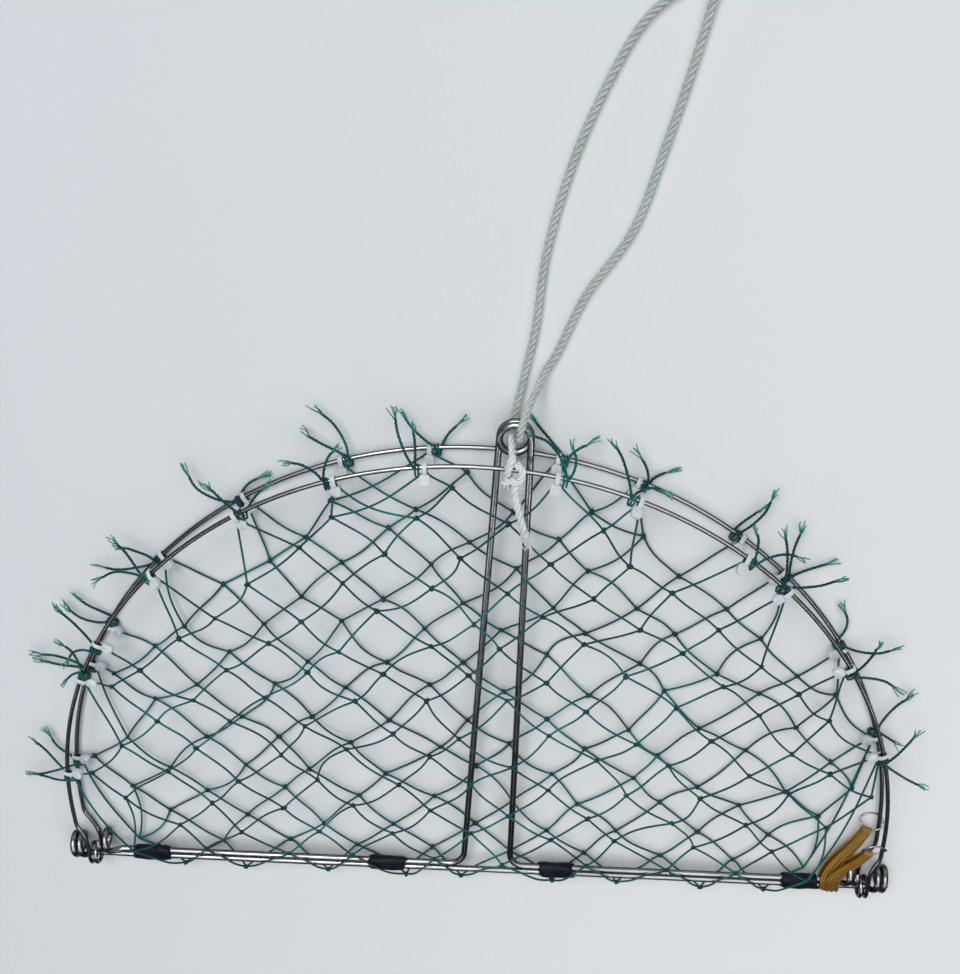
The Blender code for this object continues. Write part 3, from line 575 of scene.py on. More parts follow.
def floor_material():
    """The pale floor, with painted shade that makes it a little darker towards the left and the back."""
    look, tree, shader = new_material("pale_floor")
    spot = node(tree, "ShaderNodeTexCoord", out="Object")
    tone = node(tree, "ShaderNodeTexNoise", {"Vector": spot, "Scale": 1.6, "Detail": 1.0})
    parts = split(tree, spot)
    # Painted shade: the floor's colour darkens towards the left and the back, with a slow noise in its tone.
    across = maths(tree, "SUBTRACT", parts[0], maths(tree, "MULTIPLY", parts[1], 0.35))
    across = spread_out(tree, across, -0.44, 0.33, -0.15, 0.85)
    across = maths(tree, "ADD", across, maths(tree, "MULTIPLY", tone, 0.3))
    tree.links.new(blended(tree, across, FLOOR_PAINTED_SHADE, FLOOR_PALE), shader.inputs["Base Color"])
    shader.inputs["Roughness"].default_value = 0.85
    shader.inputs["Specular IOR Level"].default_value = 0.2
    return look


def room():
    """A dark room for the wire to mirror, with a bright ceiling, one strip of light and pale low walls."""
    world = bpy.data.worlds.new("room")
    bpy.context.scene.world = world
    world.use_nodes = True
    tree = world.node_tree
    way = node(tree, "ShaderNodeTexCoord", out="Generated")
    near = node(tree, "ShaderNodeVectorMath", {0: way, 1: CEILING_WAY}, "Value", operation="DOT_PRODUCT")
    parts = split(tree, way)
    aside = maths(tree, "ABSOLUTE", parts[0])
    edges = [spread_out(tree, parts[1], low, high) for low, high in ((-0.80, -0.70), (-0.20, -0.10))]
    behind = maths(tree, "SUBTRACT", *edges)
    strip = maths(tree, "MULTIPLY", behind, spread_out(tree, aside, 0.10, 0.19, 1.0, 0.0))
    walls = blended(tree, strip, ROOM_DARK, ROOM_STRIP)
    ceiling = spread_out(tree, near, 0.72, 0.80)
    sky = blended(tree, ceiling, walls, ROOM_CEILING)
    sky = blended(tree, spread_out(tree, parts[2], 0.13, 0.24), ROOM_LOW, sky)
    tree.links.new(sky, tree.nodes["Background"].inputs[0])


def stage():
    data = bpy.data.meshes.new("floor")
    corners = [(x * FLOOR_REACH, y * FLOOR_REACH, 0.0) for x, y in ((-1, -1), (1, -1), (1, 1), (-1, 1))]
    data.from_pydata(corners, [], [(0, 1, 2, 3)])
    data.materials.append(floor_material())
    linked("floor", data)
    for settings in LAMPS:
        lamp(*settings)
    room()
    bpy.context.scene.view_settings.view_transform = "Standard"


# Wires
def hoop_points(eye_x, side):
    """Half the hoop from its hooked eye to the top, then the other half mirrored."""
    level = side * HOOP_EYE
    half = []
    for k in range(12, 0, -1):
        turn = math.radians(300) * k / 12
        half.append(Vector((eye_x, -HOOP_EYE * math.sin(turn), level * math.cos(turn))))
    foot = arc_angle(HOOP_FOOT_Y)
    bend_x = min(eye_x + 0.0018, 0.2242)
    leg = [(eye_x, 0.0, 0.0), (eye_x, 0.007, 0.0), (bend_x, 0.0155, 0.0), hoop_arc(foot)]
    half += [p + off_flat(level) for p in smooth_route(leg, 0.004)[:-1]]
    half += [hoop_arc(foot * k / 40) + off_flat(level) for k in range(40, -1, -1)]
    return half + mirrored(half[:-1])


def wound_end(coil_x, start_y, lead_in, whole):
    """The turns at a wire's +X end, beside and above the straight wire at start_y, whole degrees in all."""
    points = []
    steps = whole // 22
    for k in range(steps + 1):
        turn = math.radians(whole) * k / steps
        slide = lead_in * max(0.0, 1 - turn / math.radians(70)) ** 2
        x = coil_x + WOUND_PITCH * turn / math.tau - slide
        y = start_y + WOUND_RADIUS * (1 - math.cos(turn))
        points.append(Vector((x, y, WOUND_RADIUS * math.sin(turn))))
    return points


def base_bar_points():
    right = wound_end(0.2279, 0.0, 0.004, 720)
    return mirrored(right) + [Vector((x, 0.0, 0.0)) for x in (-0.2, -0.1, 0.0, 0.1, 0.2)] + right


def post_place(across, up, off=0.0):
    """A point of the post from its own upright axes to the leaning ones."""
    return Vector((POST_X + across + (up - LEG_Y) * math.tan(POST_LEAN), up, off))


def post_points():
    """Left coil, left leg, left upright, wound eye, and down the other side."""
    uprights = []
    for side in (-1, 1):
        upright = []
        for k in range(7):
            angle = math.radians(90) * k / 6
            across = POST_FOOT + POST_BEND * (1 - math.sin(angle))
            upright.append(post_place(side * across, LEG_Y + POST_BEND * (1 - math.cos(angle))))
        for k in range(1, 6):
            height = LEG_Y + POST_BEND + (EYE_Y - LEG_Y - POST_BEND) * k / 6
            across = POST_FOOT + (EYE_RADIUS - POST_FOOT) * k / 6
            upright.append(post_place(side * across, height, side * 0.003 * k / 6))
        uprights.append(upright)
    eye = []
    for k in range(28):
        turn = math.tau * EYE_TURNS * k / 27
        across, height = -EYE_RADIUS * math.cos(turn), EYE_Y + EYE_RADIUS * math.sin(turn)
        eye.append(post_place(across, height, EYE_RISE * (turn / math.tau - EYE_TURNS / 2)))
    legs = [Vector((x, LEG_Y, 0.0)) for x in (0.07, 0.14, 0.19)]
    side = legs + wound_end(0.2122, LEG_Y, 0.006, 486)
    return mirrored(side) + uprights[0] + eye + uprights[1][::-1] + side


def ring_place(ring_y, side, angle):
    """A point on the wire ring that passes over and under the hoop's wire."""
    lift = 0.00185 * math.tanh(3 * math.sin(angle)) / math.tanh(3)
    x = hoop_arc(arc_angle(ring_y)).x - RING_IN + RING_LONG * math.cos(angle)
    return Vector((x, ring_y + RING_SHORT * math.sin(angle), side * (HOOP_EYE + lift)))


def wires(steel):
    """Both hoops, the base bar, the post, and the small ring on each hoop."""
    shapes = (
        ("hoop_front_wire", "hoop_front", "front_hoop", hoop_points(0.2240, 1), HOOP_WIRE, 0.0018),
        ("hoop_rear_wire", "hoop_rear", "rear_hoop", hoop_points(0.2208, -1), HOOP_WIRE, 0.0018),
        ("base_bar_wire", "base_bar", "post_unit", base_bar_points(), HEAVY_WIRE, 0.0016),
        ("post_wire", "post_frame", "post_unit", post_points(), HEAVY_WIRE, 0.0016),
    )
    for name, cad, body, points, radius, step in shapes:
        line = smooth_route(worlds(points, body), step)
        made = bake(name, routes([line]), trees["wire"], Radius=radius, Sides=20, Look=steel)
        piece(made, body, "stainless_wire", cad)
    for body, end in HOOPS:
        ring = [ring_place(RING_Y[end], SIDE[body], math.tau * k / 40) for k in range(40)]
        ring = routes([worlds(ring, body)], True)
        made = bake(f"ring_{end}", ring, trees["wire"], Radius=RING_WIRE, Sides=12, Look=steel)
        piece(made, body, "stainless_wire", f"band_ring_{end}")


# Rope
def rope_routes():
    """The rope's points: up from each knot to the eye, out from it to the join, and the main line."""
    eye_x = post_place(0.0, EYE_Y).x
    left, right = eye_x - IN_EYE, eye_x + IN_EYE

    def lying(*spots):
        return [(x, y, ON_FLOOR) for x, y in spots]

    front_up = [
        (left + 0.0019, 0.1290, 0.0262), (left + 0.0016, 0.1306, 0.0234), (left + 0.0010, 0.1331, 0.0182),
        (left + 0.0004, 0.1362, 0.0128), (left + 0.0002, 0.1388, 0.0086),
    ]
    front_out = [
        (left + 0.0002, 0.1388, 0.0086), (left + 0.0010, 0.1428, 0.0050), (left + 0.0026, 0.1490, 0.0028),
        *lying((left + 0.0046, 0.1580), (left + 0.0062, 0.1650), (0.0330, 0.186), (0.038, 0.224)),
        *lying((0.049, 0.264), (0.063, 0.297), (0.078, 0.322)),
        (0.0994, 0.3385, ON_FLOOR + 0.001), (0.1045, 0.3400, 0.0042),
    ]
    rear_up = [
        (right, 0.1318, 0.0064), (right, 0.1332, 0.0092), (right, 0.1342, 0.0113),
        (right, 0.1360, 0.0150), (right, 0.1386, 0.0186),
    ]
    rear_out = [
        (right, 0.1386, 0.0186), (right + 0.0006, 0.1436, 0.0205), (right + 0.0030, 0.1505, 0.0168),
        (right + 0.0070, 0.1580, 0.0085), (right + 0.0115, 0.1665, 0.0028),
        *lying((right + 0.0160, 0.1740), (0.056, 0.203), (0.076, 0.233), (0.089, 0.272), (0.098, 0.303)),
        (0.1055, 0.3334, ON_FLOOR + 0.001), (0.1066, 0.3378, 0.0042),
    ]
    main = [(0.1078, 0.3438, 0.0042), (0.1090, 0.3484, ON_FLOOR + 0.001)]
    main += lying((0.1112, 0.362), (COIL_CENTRE.x - COIL_OUTER, 0.372))
    steps = COIL_LOOPS * LOOP_POINTS
    for k in range(2 * steps + 1):
        turn = math.pi - math.tau * k / LOOP_POINTS
        radius = COIL_OUTER - COIL_STEP * (steps - abs(steps - k)) / LOOP_POINTS
        rise = min(max((k - steps + LOOP_POINTS / 4) * 2 / LOOP_POINTS, 0.0), 1.0)
        spot = Vector((radius * math.cos(turn), radius * math.sin(turn), COIL_STEP * rise))
        main.append(COIL_CENTRE + spot)
    return (front_up, rear_up), (front_out, rear_out), main


def laid(name, line, look, radius=ROPE, thick=None, step=0.0012):
    """Three-strand rope along a line of points, and the even points that it follows."""
    line = smooth_route(line, step)
    sizes = thick and [float(np.interp(k / (len(line) - 1), *thick)) for k in range(len(line))]
    strands = dict(Strand=radius * 0.52, Spread=radius * 0.50, Lay=ROPE_LAY, Sides=8)
    return bake(name, routes([line], thick=sizes), trees["rope"], Look=look, **strands), line


def ropes(fibre, white):
    """The rises through the eye, the two strands past it, the knot that joins them, and the main line."""
    ups, outs, main = rope_routes()
    for (body, end), points, look in zip(HOOPS, ups, (white, fibre)):
        rise, line = laid(f"rope_rise_{end}", points, look, 0.0019, step=0.0005)
        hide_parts(f"rope_lead_{end}")
        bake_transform(rise)
    strands = [laid(f"rope_strand_{end}", points, fibre) for (_, end), points in zip(HOOPS, outs)]
    main, main_line = laid("rope_main_line", main, fibre)
    turns = [JOIN + Vector(p) / 1000 for p in JOIN_TURNS]
    knot = laid("join_knot", turns, white, 0.0018, step=0.0008)[0]
    piece(knot, "rear_hoop", "rope_fibre", "rope_join_knot")
    on_strands = (
        ["rope_rise_front", "knot_front", "rope_tail", "rope_tail_fray"],
        ["rope_rise_rear", "knot_rear"],
    )
    for (_, end), (strand, line), on_it in zip(HOOPS, strands, on_strands):
        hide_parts(f"rope_line_{end}")
        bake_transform(strand)
    piece(main, "rear_hoop", "rope_fibre", "rope_main", "rope_coil")


def frayed_tail(white, begin):
    """The loose end of the front knot, thinner towards its tip, and the hairs it ends in."""
    tail = [begin + Vector(p) for p in TAIL]
    thick = ((0.0, 0.8, 1.0), (1.0, 1.0, 0.8))
    made = laid("rope_tail", tail, white, thick=thick, step=0.0009)[0]
    piece(made, "front_hoop", "rope_fibre", "rope_tail_front")
    chance = random.Random(7)
    hairs = []
    for _ in range(60):
        root = tail[2].lerp(tail[3], chance.uniform(0.3, 1.0)) + shaken(chance, 0.0013)
        way = Vector((0.26 + chance.gauss(0.0, 0.10), -1.0, chance.gauss(-0.03, 0.07)))
        long = chance.uniform(0.004, 0.0085)
        curl = Vector((chance.gauss(0.0, 0.0008), 0.0, chance.gauss(0.0, 0.0006)))
        hairs.append(hair(root, way, long, curl))
    fray = bake("rope_tail_fray", routes(hairs), trees["wire"], Radius=0.00026, Sides=5, Look=white)
    piece(fray, "front_hoop", "rope_fibre")


def hoop_knots(white):
    """The drawn-up knots on both hoops, and the front one's frayed tail."""
    eye_x = post_place(0.0, EYE_Y).x
    for (body, end), x in zip(HOOPS, (eye_x - IN_EYE, eye_x + IN_EYE)):
        wire = hoop_arc(math.asin(x / HOOP_RADIUS)) + off_flat(SIDE[body] * HOOP_EYE)
        wire = to_world(wire, body)
        turns = [Vector(p) / 1000 for p in HOOP_TURNS]
        if end == "front":
            turns = [Vector((p.x * 1.12 + 0.0022, p.y * 1.06, p.z)) for p in turns]
        else:
            turns = [
                Vector((-p.x, -p.y * 0.8 - 0.001, max(p.z * 0.85, 0.0026)))
                for p in turns[::-1] if p.z > -0.0012
            ]
        knot = laid(f"knot_{end}", [wire + p for p in turns], white, step=0.0007)[0]
        piece(knot, body, "rope_fibre", f"rope_knot_{end}")
        if end == "front":
            frayed_tail(white, wire + turns[-1] + Vector((0.0, 0.0008, 0.0)))


# Net
def rim_hit(point, way):
    """Where a strand from point first meets the net's edge above its foot."""
    off = point - np.array((0.0, HOOP_RISE))
    along = off @ way
    best = -along + math.sqrt(along * along - off @ off + NET_RADIUS ** 2)
    for _, corner, arc_end in NET_FEET:
        edge = np.array(arc_end) - np.array(corner)
        cross = way[0] * edge[1] - way[1] * edge[0]
        if abs(cross) < 1e-9:
            continue
        gap = np.array(corner) - point
        t = (gap[0] * edge[1] - gap[1] * edge[0]) / cross
        u = (gap[0] * way[1] - gap[1] * way[0]) / cross
        if t > 0 and -0.02 <= u <= 1.02 and t < best:
            best = t
    return point + way * best


def net_room(x, y):
    """How far inside the net's edge a point is."""
    room = min(NET_RADIUS - math.hypot(x, y - HOOP_RISE), y)
    for side, (corner_x, corner_y), (arc_x, arc_y) in NET_FEET:
        edge = Vector((arc_x - corner_x, arc_y - corner_y)).normalized()
        room = min(room, -side * (edge.y * (x - corner_x) - edge.x * (y - corner_y)))
    return room


def grid_place(column, row):
    return column * DIAMOND[0] / 2, FOLD_Y + row * DIAMOND[1] / 2


def net_plan(body, chance, angles):
    """The net's points with what each is, and the strands between them. All but the knots are held."""
    side = SIDE[body]
    points, kind = [], []
    index = {}

    def add(x, y, z, what):
        points.append((x, y, z))
        kind.append(what)
        return len(points) - 1

    for row in range(1, 17):
        for column in range(-11, 12):
            x, y = grid_place(column, row)
            if (row + column) % 2 == 0 and net_room(x, y) > 0.008:
                off = [max(-0.005, min(0.005, chance.gauss(0.0, 0.0026))) for _ in range(2)]
                y += off[1] * (0.3 if row == 1 else 1.0)
                index[(column, row)] = add(x + off[0], y, side * HOOP_EYE, "knot")
    for column, (shift, drop) in zip(range(-8, 9, 2), FOLD_OFF):
        x, y = grid_place(column, 0)
        index[(column, 0)] = add(x + shift, y + drop, 0.0, "fold")
    strands, ends = [], []
    for (column, row), here in index.items():
        for right, up in ((1, 1), (-1, 1), (1, -1), (-1, -1)):
            there = index.get((column + right, row + up))
            if there is not None and there > here:
                strands.append((here, there))
            elif there is None and row > 0:
                way = np.array((right * DIAMOND[0], up * DIAMOND[1]))
                spot = rim_hit(np.array(grid_place(column, row)), way / np.linalg.norm(way))
                ends.append((*spot, here))
    rim = []
    for angle in angles:
        x, y = NET_RADIUS * math.sin(angle), HOOP_RISE + NET_RADIUS * math.cos(angle)
        rim.append(add(x, y, side * HOOP_EYE, "rim"))
    corners = [add(x, y, side * CORNER_Z, "corner") for x, y in NET_CORNERS]
    gathered = set()
    for x, y, knot in ends:
        spot = min(rim + corners, key=lambda k: math.dist(points[k][:2], (x, y)))
        gathered.add((knot, spot))
    strands += sorted(gathered)
    for corner, lowest in zip(corners, (min, max)):
        strands.append((corner, lowest(rim, key=lambda k: points[k][0])))
    return np.array(points, float), kind, strands


def fold_route(knot, start, side, chance):
    """A strand from the net's lowest knots, nearly straight over the bar, to a knot below it."""
    near = min(abs((knot.x + start.x) / 2 - x) for x in SLEEVES) < SLEEVE_LONG
    lift = side * (0.0047 if near else 0.0033)
    bow = chance.uniform(-0.0009, 0.0009)
    line = [knot]
    for part, z in ((0.20, 0.72), (0.34, 1.0), (0.60, 1.06)):
        middle = knot.lerp(start, part)
        line.append(Vector((middle.x + bow * math.sin(math.pi * part), middle.y, lift * z)))
    line.append(start.lerp(knot, 0.14))
    line[-1].z = start.z
    return line + [start]


def bowed(start, end, rest, chance, low, high):
    """A strand that is longer than the gap it spans: a smooth sag and a slight wave."""
    gap = end - start
    far = gap.length
    sag = min(0.0042, math.sqrt(0.375 * max(rest - far, 0.0) * far)) * chance.uniform(0.55, 1.0)
    across = Vector((-gap.y, gap.x, 0.0)).normalized()
    outer = max(math.hypot(p.x, p.y - HOOP_RISE) for p in (start, end)) > NET_RADIUS - 0.012
    if (across.y > 0) != (chance.random() < 0.3 and not outer):
        across = -across
    wave = chance.uniform(-0.0005, 0.0005)
    lean = chance.uniform(-0.0008, 0.0008)
    line = []
    for k in range(9):
        t = k / 8
        off = across * (sag * math.sin(math.pi * t) + wave * math.sin(math.tau * t))
        p = start + gap * t + off + off_flat(lean * math.sin(math.pi * t))
        p.z = min(max(p.z, low), high)
        line.append(p)
    return line


def relax(spots, free, a, b, rest):
    """Lets the free knots sink a little and pulls each strand back to its own length, many times over."""
    share = np.zeros(len(spots))
    np.add.at(share, a, 1.0)
    np.add.at(share, b, 1.0)
    for _ in range(60):
        spots[free, 1] -= 0.00003
        for _ in range(10):
            gap = spots[b] - spots[a]
            far = np.linalg.norm(gap, axis=1)
            move = gap * (np.maximum(far - rest, 0.0) / np.maximum(far, 1e-9) * 0.5)[:, None]
            total = np.zeros_like(spots)
            np.add.at(total, a, move)
            np.add.at(total, b, -move)
            spots[free] += (total / share[:, None] * 1.5)[free]


def hang_net(body, seed, angles):
    """The net as slack twine: its strands as lines of points in the hoop's own flat, and its knots."""
    chance = random.Random(seed)
    side = SIDE[body]
    spots, kind, strands = net_plan(body, chance, angles)
    a, b = np.array(strands).T
    span = np.linalg.norm(spots[b] - spots[a], axis=1)
    slack = np.array([
        chance.uniform(0.001, 0.012) if chance.random() < 0.82 else chance.uniform(0.025, 0.06)
        for _ in strands
    ])
    slack += [0.02 if kind[end] == "rim" else 0.0 for _, end in strands]
    low_down = np.clip((spots[a, 1] + spots[b, 1]) / 2 / 0.06, 0.25, 1.0)
    rest = span * (1.0 + slack * low_down)
    relax(spots, np.array(kind) == "knot", a, b, rest)
    level = side * HOOP_EYE
    below, above = (0.0024, 0.0010) if side > 0 else (0.0013, 0.0028)
    low, high = level - below, level + above
    for k, what in enumerate(kind):
        if what == "knot":
            spots[k, 2] = chance.uniform(low + 0.0004, high - 0.0004)
    net, fold = [], []
    for (start, end), long in zip(strands, rest):
        p, q = Vector(spots[start]), Vector(spots[end])
        if kind[end] == "fold":
            fold.append(fold_route(q, p, side, chance))
        elif kind[start] == "fold":
            fold.append(fold_route(p, q, side, chance))
        else:
            net.append(bowed(p, q, long, chance, low, high))
    knots = {}
    for what in ("knot", "fold", "rim"):
        knots[what] = [Vector(spots[k]) for k in range(len(kind)) if kind[k] == what]
    for k, (x, y) in zip((0, -1), NET_CORNERS):
        fold.append(fold_route(knots["fold"][k], Vector((x, y, side * CORNER_Z)), side, chance))
    return net, fold, knots


def knot_shape():
    """A small drawn-up mesh knot: one turn of twine over two crossing strands."""
    bm = bmesh.new()
    bmesh.ops.create_uvsphere(bm, u_segments=10, v_segments=6, radius=1.0)
    for vert in bm.verts:
        angle = math.atan2(vert.co.y, vert.co.x)
        swell = 1.0 + 0.18 * math.cos(3 * angle + 2.4 * vert.co.z)
        vert.co = Vector((vert.co.x * 1.35 * swell, vert.co.y * 1.02 * swell, vert.co.z))
    return from_bmesh("mesh_knot", bm)


def joined(parts):
    """Several plain meshes as one object at the origin, under the first one's name."""
    with bpy.context.temp_override(
        active_object=parts[0], selected_editable_objects=parts, selected_objects=parts,
    ):
        bpy.ops.object.join()
    return parts[0]


def above_floor(lines, body):
    """The lines in the world, with their points kept over the floor and near the trap."""
    wide, front, low = 0.2562, -0.165, TWINE + 0.0006
    return [
        [(max(-wide, min(wide, x)), max(front, y), max(z, low)) for x, y, z in worlds(line, body)]
        for line in lines
    ]


def tails(body, chance, angles):
    """The twine at each tie: a short lashing round wire and edge, and two loose ends outside the hoop."""
    side = SIDE[body]
    lashes, ends, hairs = [], [], []
    for k, angle in enumerate(angles):
        tie = hoop_arc(angle) + off_flat(side * HOOP_EYE)
        out = Vector((math.sin(angle), math.cos(angle), 0.0))
        run = Vector((out.y, -out.x, 0.0))
        step = chance.choice((-1, 1)) * 0.0026
        coil = []
        for m in range(25):
            turn = math.tau * 1.7 * m / 24
            along = run * (step + math.copysign(0.0011 * m / 10, step))
            around = out * (-0.0013 + 0.0030 * math.cos(turn)) + off_flat(0.0020 * math.sin(turn))
            coil.append(tie + along + around)
        lashes.append(coil)
        for m in range(2):
            way = spun(chance.uniform(6, 58) * (-1 if (m + k) % 2 else 1)) @ out
            long = chance.uniform(0.016, 0.033)
            start = coil[-1] if m else coil[-8]
            bend = spun(chance.uniform(-26, 26)) @ way
            rise = chance.uniform(-0.006, 0.0006) if side > 0 else chance.uniform(0.0, 0.006)
            first = start + way * long * 0.3 + off_flat(rise * 0.5)
            waist = start + (way + bend).normalized() * long * 0.66 + off_flat(rise)
            tip = start + bend * long * 0.96 + off_flat(rise * 0.8)
            line = smooth_route([start, first, waist, tip], 0.0018)
            ends.append(line[:-2])
            for _ in range(5):
                root = line[-3] + shaken(chance, 0.0005)
                off = spun(chance.gauss(0.0, 12)) @ (tip - line[-4]).normalized()
                reach = chance.uniform(0.004, 0.0085)
                curl = Vector([chance.gauss(0.0, size) for size in (0.0004, 0.0004, 0.0006)])
                hairs.append(hair(root, off, reach, curl))
    return lashes, above_floor(ends, body), above_floor(hairs, body)


def nets(twine, drawn):
    """Both nets: strands and knots, the part that folds round the bar, and the loose ends at the ties."""
    knot = knot_shape()

    def strands_of(name, lines, **size):
        return bake(name, routes(lines), trees["wire"], Look=twine, **size)

    def knots_at(name, spots, turns, sizes):
        return bake(name, places(spots, turns, sizes), trees["scatter"], Shape=knot, Look=drawn)

    def even(lines, body, step):
        return [smooth_route(worlds(line, body), step) for line in lines]

    for body, end in HOOPS:
        seed = NET_SEED[end]
        chance = random.Random(seed * 7)
        angles = tie_angles(end, body)
        net, fold, knots = hang_net(body, seed, angles)
        strands = strands_of(f"net_{end}_twine", even(net, body, 0.0026), Radius=TWINE, Sides=8)
        spots = worlds(knots["knot"], body)
        reaches = ((-0.3, 0.3), (-0.3, 0.3), (0.0, math.tau))
        turns = [[chance.uniform(*reach) for reach in reaches] for _ in spots]
        sizes = [KNOT * chance.uniform(0.88, 1.12) for _ in spots]
        beads = knots_at("beads", spots, turns, sizes)
        rim = worlds(knots["rim"], body)
        turns = [(0.0, 0.0, chance.uniform(0.0, 6.0)) for _ in rim]
        rim_beads = knots_at("rim_beads", rim, turns, [0.00105] * len(rim))
        piece(joined([strands, beads, rim_beads]), body, "net_twine", f"net_{end}")
        crossing = strands_of(f"net_{end}_fold", even(fold, body, 0.0016), Radius=TWINE, Sides=8)
        if end == "front":
            spots = worlds(knots["fold"], "post_unit")
            turns = [(0.0, 0.0, chance.uniform(0.0, math.tau)) for _ in spots]
            piece(knots_at("fold_knots", spots, turns, [0.0013] * len(spots)), "post_unit", "net_twine")
        blend_at_bar(crossing, body)
        lashes, ends, hairs = tails(body, chance, angles)
        wound = strands_of("lashings", even(lashes, body, 0.0007), Radius=TWINE * 0.95, Sides=6)
        plies = dict(Strand=0.00040, Spread=0.00042, Strands=3, Lay=0.007, Sides=6)
        loose = bake(f"twine_ends_{end}", routes(ends), trees["rope"], Look=twine, **plies)
        frayed = strands_of("frayed", hairs, Radius=0.00030, Sides=5, Fade=-0.6)
        piece(joined([loose, wound, frayed]), body, "net_twine")
    bpy.data.objects.remove(knot)


# Ties
def wall(bm, a, b):
    """A band of faces between two closed rings of the same count."""
    for k in range(len(a)):
        after = (k + 1) % len(a)
        bm.faces.new((a[k], a[after], b[after], b[k]))


def block(bm, size, place):
    verts = bmesh.ops.create_cube(bm, size=1.0)["verts"]
    bmesh.ops.scale(bm, vec=size, verts=verts)
    bmesh.ops.translate(bm, vec=place, verts=verts)


def tie_shape():
    """A flat strap round the wire and the net's edge, with a rounded square head and a cut stub."""
    sides = 28
    bm = bmesh.new()
    outside, inside = [], []
    for k in range(sides):
        angle = math.tau * k / sides
        c, s = (math.copysign(abs(v) ** 0.8, v) for v in (math.cos(angle), math.sin(angle)))
        outside.append((c * 0.00325 - 0.0009, s * 0.00235))
        inside.append((c * 0.0025 - 0.0009, s * 0.00165))
    half = 0.0012
    loops = [
        [bm.verts.new((x, y, z)) for y, z in ring]
        for x, ring in ((half, outside), (-half, outside), (-half, inside), (half, inside))
    ]
    for a, b in zip(loops, loops[1:] + loops[:1]):
        wall(bm, a, b)
    head = bmesh.ops.create_cone(
        bm, cap_ends=True, segments=16, radius1=0.0027, radius2=0.0025, depth=0.0031,
    )["verts"]
    for vert in head:
        angle = math.atan2(vert.co.y, vert.co.x)
        square = (math.cos(angle) ** 4 + math.sin(angle) ** 4) ** -0.25
        vert.co = Vector((vert.co.x * square, vert.co.y * square * 1.08, vert.co.z))
    bmesh.ops.translate(bm, vec=(0.0, -0.0062, 0.0008), verts=head)
    neck = ((0.0028, 0.0026, 0.0018), (0.0, -0.0042, 0.0008))
    stub = ((0.0021, 0.0013, 0.0014), (0.0, -0.0064, 0.0028))
    for size, place in (neck, stub):
        block(bm, size, place)
    bmesh.ops.recalc_face_normals(bm, faces=bm.faces)
    made = from_bmesh("tie", bm)
    soft = made.modifiers.new("soft", "BEVEL")
    soft.width = 0.00045
    soft.limit_method = "ANGLE"
    soft.segments = 2
    return made


def ties(nylon):
    """The nylon ties, each with its head turned its own way round the hoop's wire."""
    shape = tie_shape()
    for body, end in HOOPS:
        chance = random.Random(5)
        front = SIDE[body] > 0
        flip = spun(180 if front else 0, "Y")
        spots, turns = [], []
        for angle in tie_angles(end, body):
            spots.append(to_world(hoop_arc(angle) + off_flat(SIDE[body] * HOOP_EYE), body))
            tilt = chance.uniform(-50, 5) if front else chance.uniform(-24, -9)
            roll = spun(chance.uniform(-9, 9)) @ spun(tilt, "X")
            on_arc = Matrix.Rotation(LEAN[body], 3, "X") @ Matrix.Rotation(-angle, 3, "Z")
            turns.append((on_arc @ roll @ flip).to_euler())
        where = places(spots, turns, [1.0] * len(spots))
        made = bake(f"ties_{end}", where, trees["scatter"], Shape=shape, Look=nylon)
        piece(made, body, "tie_nylon", *tie_names(end))
    bpy.data.objects.remove(shape)


# Sleeves and bands
def sleeve_point(number, middle, waves, part, angle):
    """A point of a sleeve, part of the way along it, round the bar and the leg beside it."""
    hug = min(1.0, 0.50 + 7.0 * min(part, 1 - part))
    grow = 0.00205 + 0.00085 * hug + 0.00018 * math.sin(3 * angle + waves[0][0] + 6 * part) * hug
    grow += 0.00012 * math.sin(angle * 2 + waves[1][0]) + 0.0001 * math.sin(14 * part + waves[2][0])
    tear = math.exp(-((part - 0.72) / 0.045) ** 2) * max(0.0, math.sin(angle)) ** 14
    grow += TEARS.get(number, 0.0) * tear
    ragged = 0.0009 * math.sin(angle * waves[3][1] + waves[3][0]) * (1 - 2 * part)
    ragged += 0.0018 * max(0.0, math.sin(angle + waves[1][0])) ** 9
    x = middle + (part - 0.5) * SLEEVE_LONG + ragged * (2 * part - 1) ** 4
    y = grow * math.sin(angle) + math.copysign(LEG_Y / 2, math.sin(angle))
    return x, LEG_Y / 2 + y, grow * math.cos(angle)


def sleeves(rubber):
    """The four rubber sleeves that hold the post's legs to the bar, with ragged ends and small tears."""
    around, long = 28, 22
    angles = [math.tau * (m + 0.5) / around for m in range(around)]
    for number, middle in enumerate(SLEEVES, 1):
        chance = random.Random(number)
        waves = [(chance.uniform(0.0, math.tau), chance.uniform(0.6, 1.4)) for _ in range(4)]
        bm = bmesh.new()
        rings = []
        for k in range(long + 1):
            ring = [sleeve_point(number, middle, waves, k / long, angle) for angle in angles]
            rings.append([bm.verts.new(p) for p in worlds(ring, "post_unit")])
        for a, b in zip(rings, rings[1:]):
            wall(bm, a, b)
        bmesh.ops.recalc_face_normals(bm, faces=bm.faces)
        bmesh.ops.solidify(bm, geom=bm.faces[:], thickness=0.00028)
        made = from_bmesh(f"sleeve_{number}", bm, rubber)
        piece(made, "post_unit", "sleeve_rubber", f"bar_sleeve_{number}")


def hull(points):
    """The outline of flat points, anticlockwise from the leftmost."""
    outline = [points[k] for k in geometry.convex_hull_2d(points)]
    first = outline.index(min(outline))
    return outline[first:] + outline[:first]


def evenly(outline, gap):
    """The outline with points added so that none are further apart than gap."""
    points = []
    for a, b in zip(outline, outline[1:] + outline[:1]):
        count = max(1, math.ceil(math.dist(a, b) / gap))
        for k in range(count):
            points.append((a[0] + (b[0] - a[0]) * k / count, a[1] + (b[1] - a[1]) * k / count))
    return points


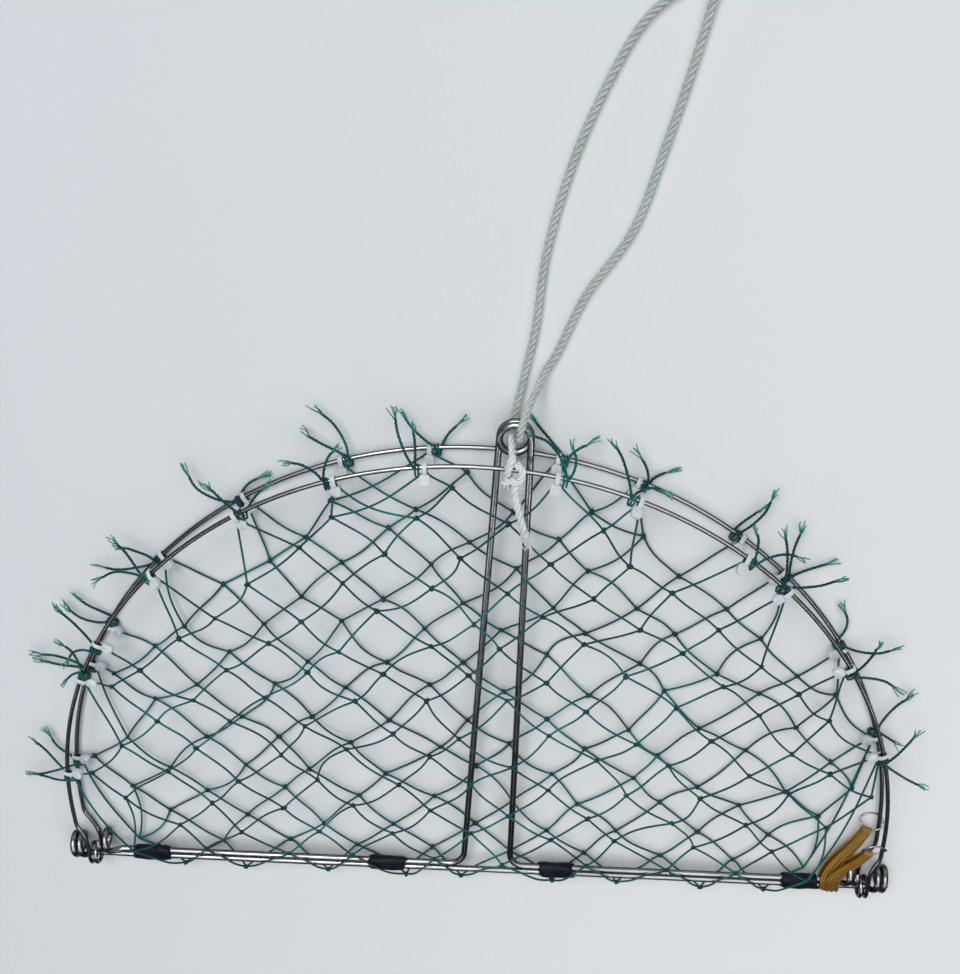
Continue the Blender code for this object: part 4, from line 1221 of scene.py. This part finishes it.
def band_points(ring_y, side, bar_x, grip, layer):
    """A stretched band, from one place on the ring down round the bar and the post's leg."""
    top = ring_place(ring_y, side, -math.acos(grip / RING_LONG))
    circles = ((0.0, 0.0, layer), (LEG_Y, 0.0, layer), (top.y, top.z, 0.0012))
    rounds = []
    for y, z, radius in circles:
        for k in range(20):
            turn = math.tau * k / 20
            rounds.append((y + radius * math.cos(turn), z + radius * math.sin(turn)))
    points = []
    for y, z in evenly(hull(rounds), 0.003):
        part = min(max((y - LEG_Y) / (top.y - LEG_Y), 0.0), 1.0)
        part = part * part * (2.2 - 1.2 * part)
        points.append(Vector((bar_x + (top.x - bar_x) * part, y, z)))
    return points


def ribbon(bm, line, widths, tilts, along_layer, around_layer):
    """A closed flat ribbon along a loop of points, its wide way along the bar."""
    thin, sides = 0.00048, 10
    rings = []
    run = 0.0
    for k, p in enumerate(line):
        after = line[(k + 1) % len(line)]
        tangent = (after - line[k - 1]).normalized()
        wide = (Vector((1.0, 0.0, 0.0)) - tangent * tangent.x).normalized()
        wide = Matrix.Rotation(tilts[k], 3, tangent) @ wide
        flat = tangent.cross(wide)
        ring = []
        for m in range(sides):
            c, s = math.cos(math.tau * m / sides), math.sin(math.tau * m / sides)
            vert = bm.verts.new(p + wide * widths[k] * c + flat * thin * s)
            vert[along_layer] = run
            vert[around_layer] = (c, s, 0.0)
            ring.append(vert)
        rings.append(ring)
        run += (after - p).length
    for a, b in zip(rings, rings[1:] + rings[:1]):
        wall(bm, a, b)


def bands(latex):
    """Three bands for each hoop, side by side round the bar and drawn together on the ring.

    Each band is two ribbons, as the CAD's band stands for both.
    """
    far_widths = (0.00092, 0.00084, 0.00052)
    for (body, end), bar_x, layer in zip(HOOPS, (0.2047, 0.2024), (0.0031, 0.0024)):
        ring_y = RING_Y[end]
        chance = random.Random(ring_y)
        for k in range(3):
            bm = bmesh.new()
            along = bm.verts.layers.float.new("along")
            around = bm.verts.layers.float_vector.new("around")
            for half in (-1, 1):
                aside = (k - 1) * 0.0026 + half * 0.00068
                height = layer + 0.0002 * (k % 2) + 0.00022 * (half + 1)
                route = band_points(ring_y, SIDE[body], bar_x + aside, -0.0026 + aside * 0.6, height)
                line = worlds(smooth_route(route, 0.0010, True), body)
                spans = [math.hypot(p.y - HINGE.y, p.z - HINGE.z) for p in line]
                widths = [
                    float(np.interp(span, (0.006, 0.016, ring_y), far_widths)) * chance.uniform(0.97, 1.03)
                    for span in spans
                ]
                lean = chance.uniform(-16, 16)
                tilts = [
                    math.radians((lean + 14 * math.sin(span * 170 + k * 2.1 + half)) * min(1.0, span / 0.02))
                    for span in spans
                ]
                ribbon(bm, line, widths, tilts, along, around)
            bmesh.ops.recalc_face_normals(bm, faces=bm.faces)
            made = from_bmesh(f"rubber_{end}_{k + 1}", bm, latex)
            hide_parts(f"band_{end}_{k + 1}")
            blend_at_bar(made, body)


camera()
stage()
trees = {"wire": wire_tree(), "rope": rope_tree(), "scatter": scatter_tree()}
streaks_group()
mottle_group()
looks = {name: material(name, **finish) for name, finish in FINISHES.items()}
hoop_knots(looks["knot_fibre"])
ropes(looks["rope_fibre"], looks["knot_fibre"])
wires(looks["stainless_wire"])
nets(looks["net_twine"], looks["net_knot"])
ties(looks["tie_nylon"])
sleeves(looks["sleeve_rubber"])
bands(looks["band_rubber"])
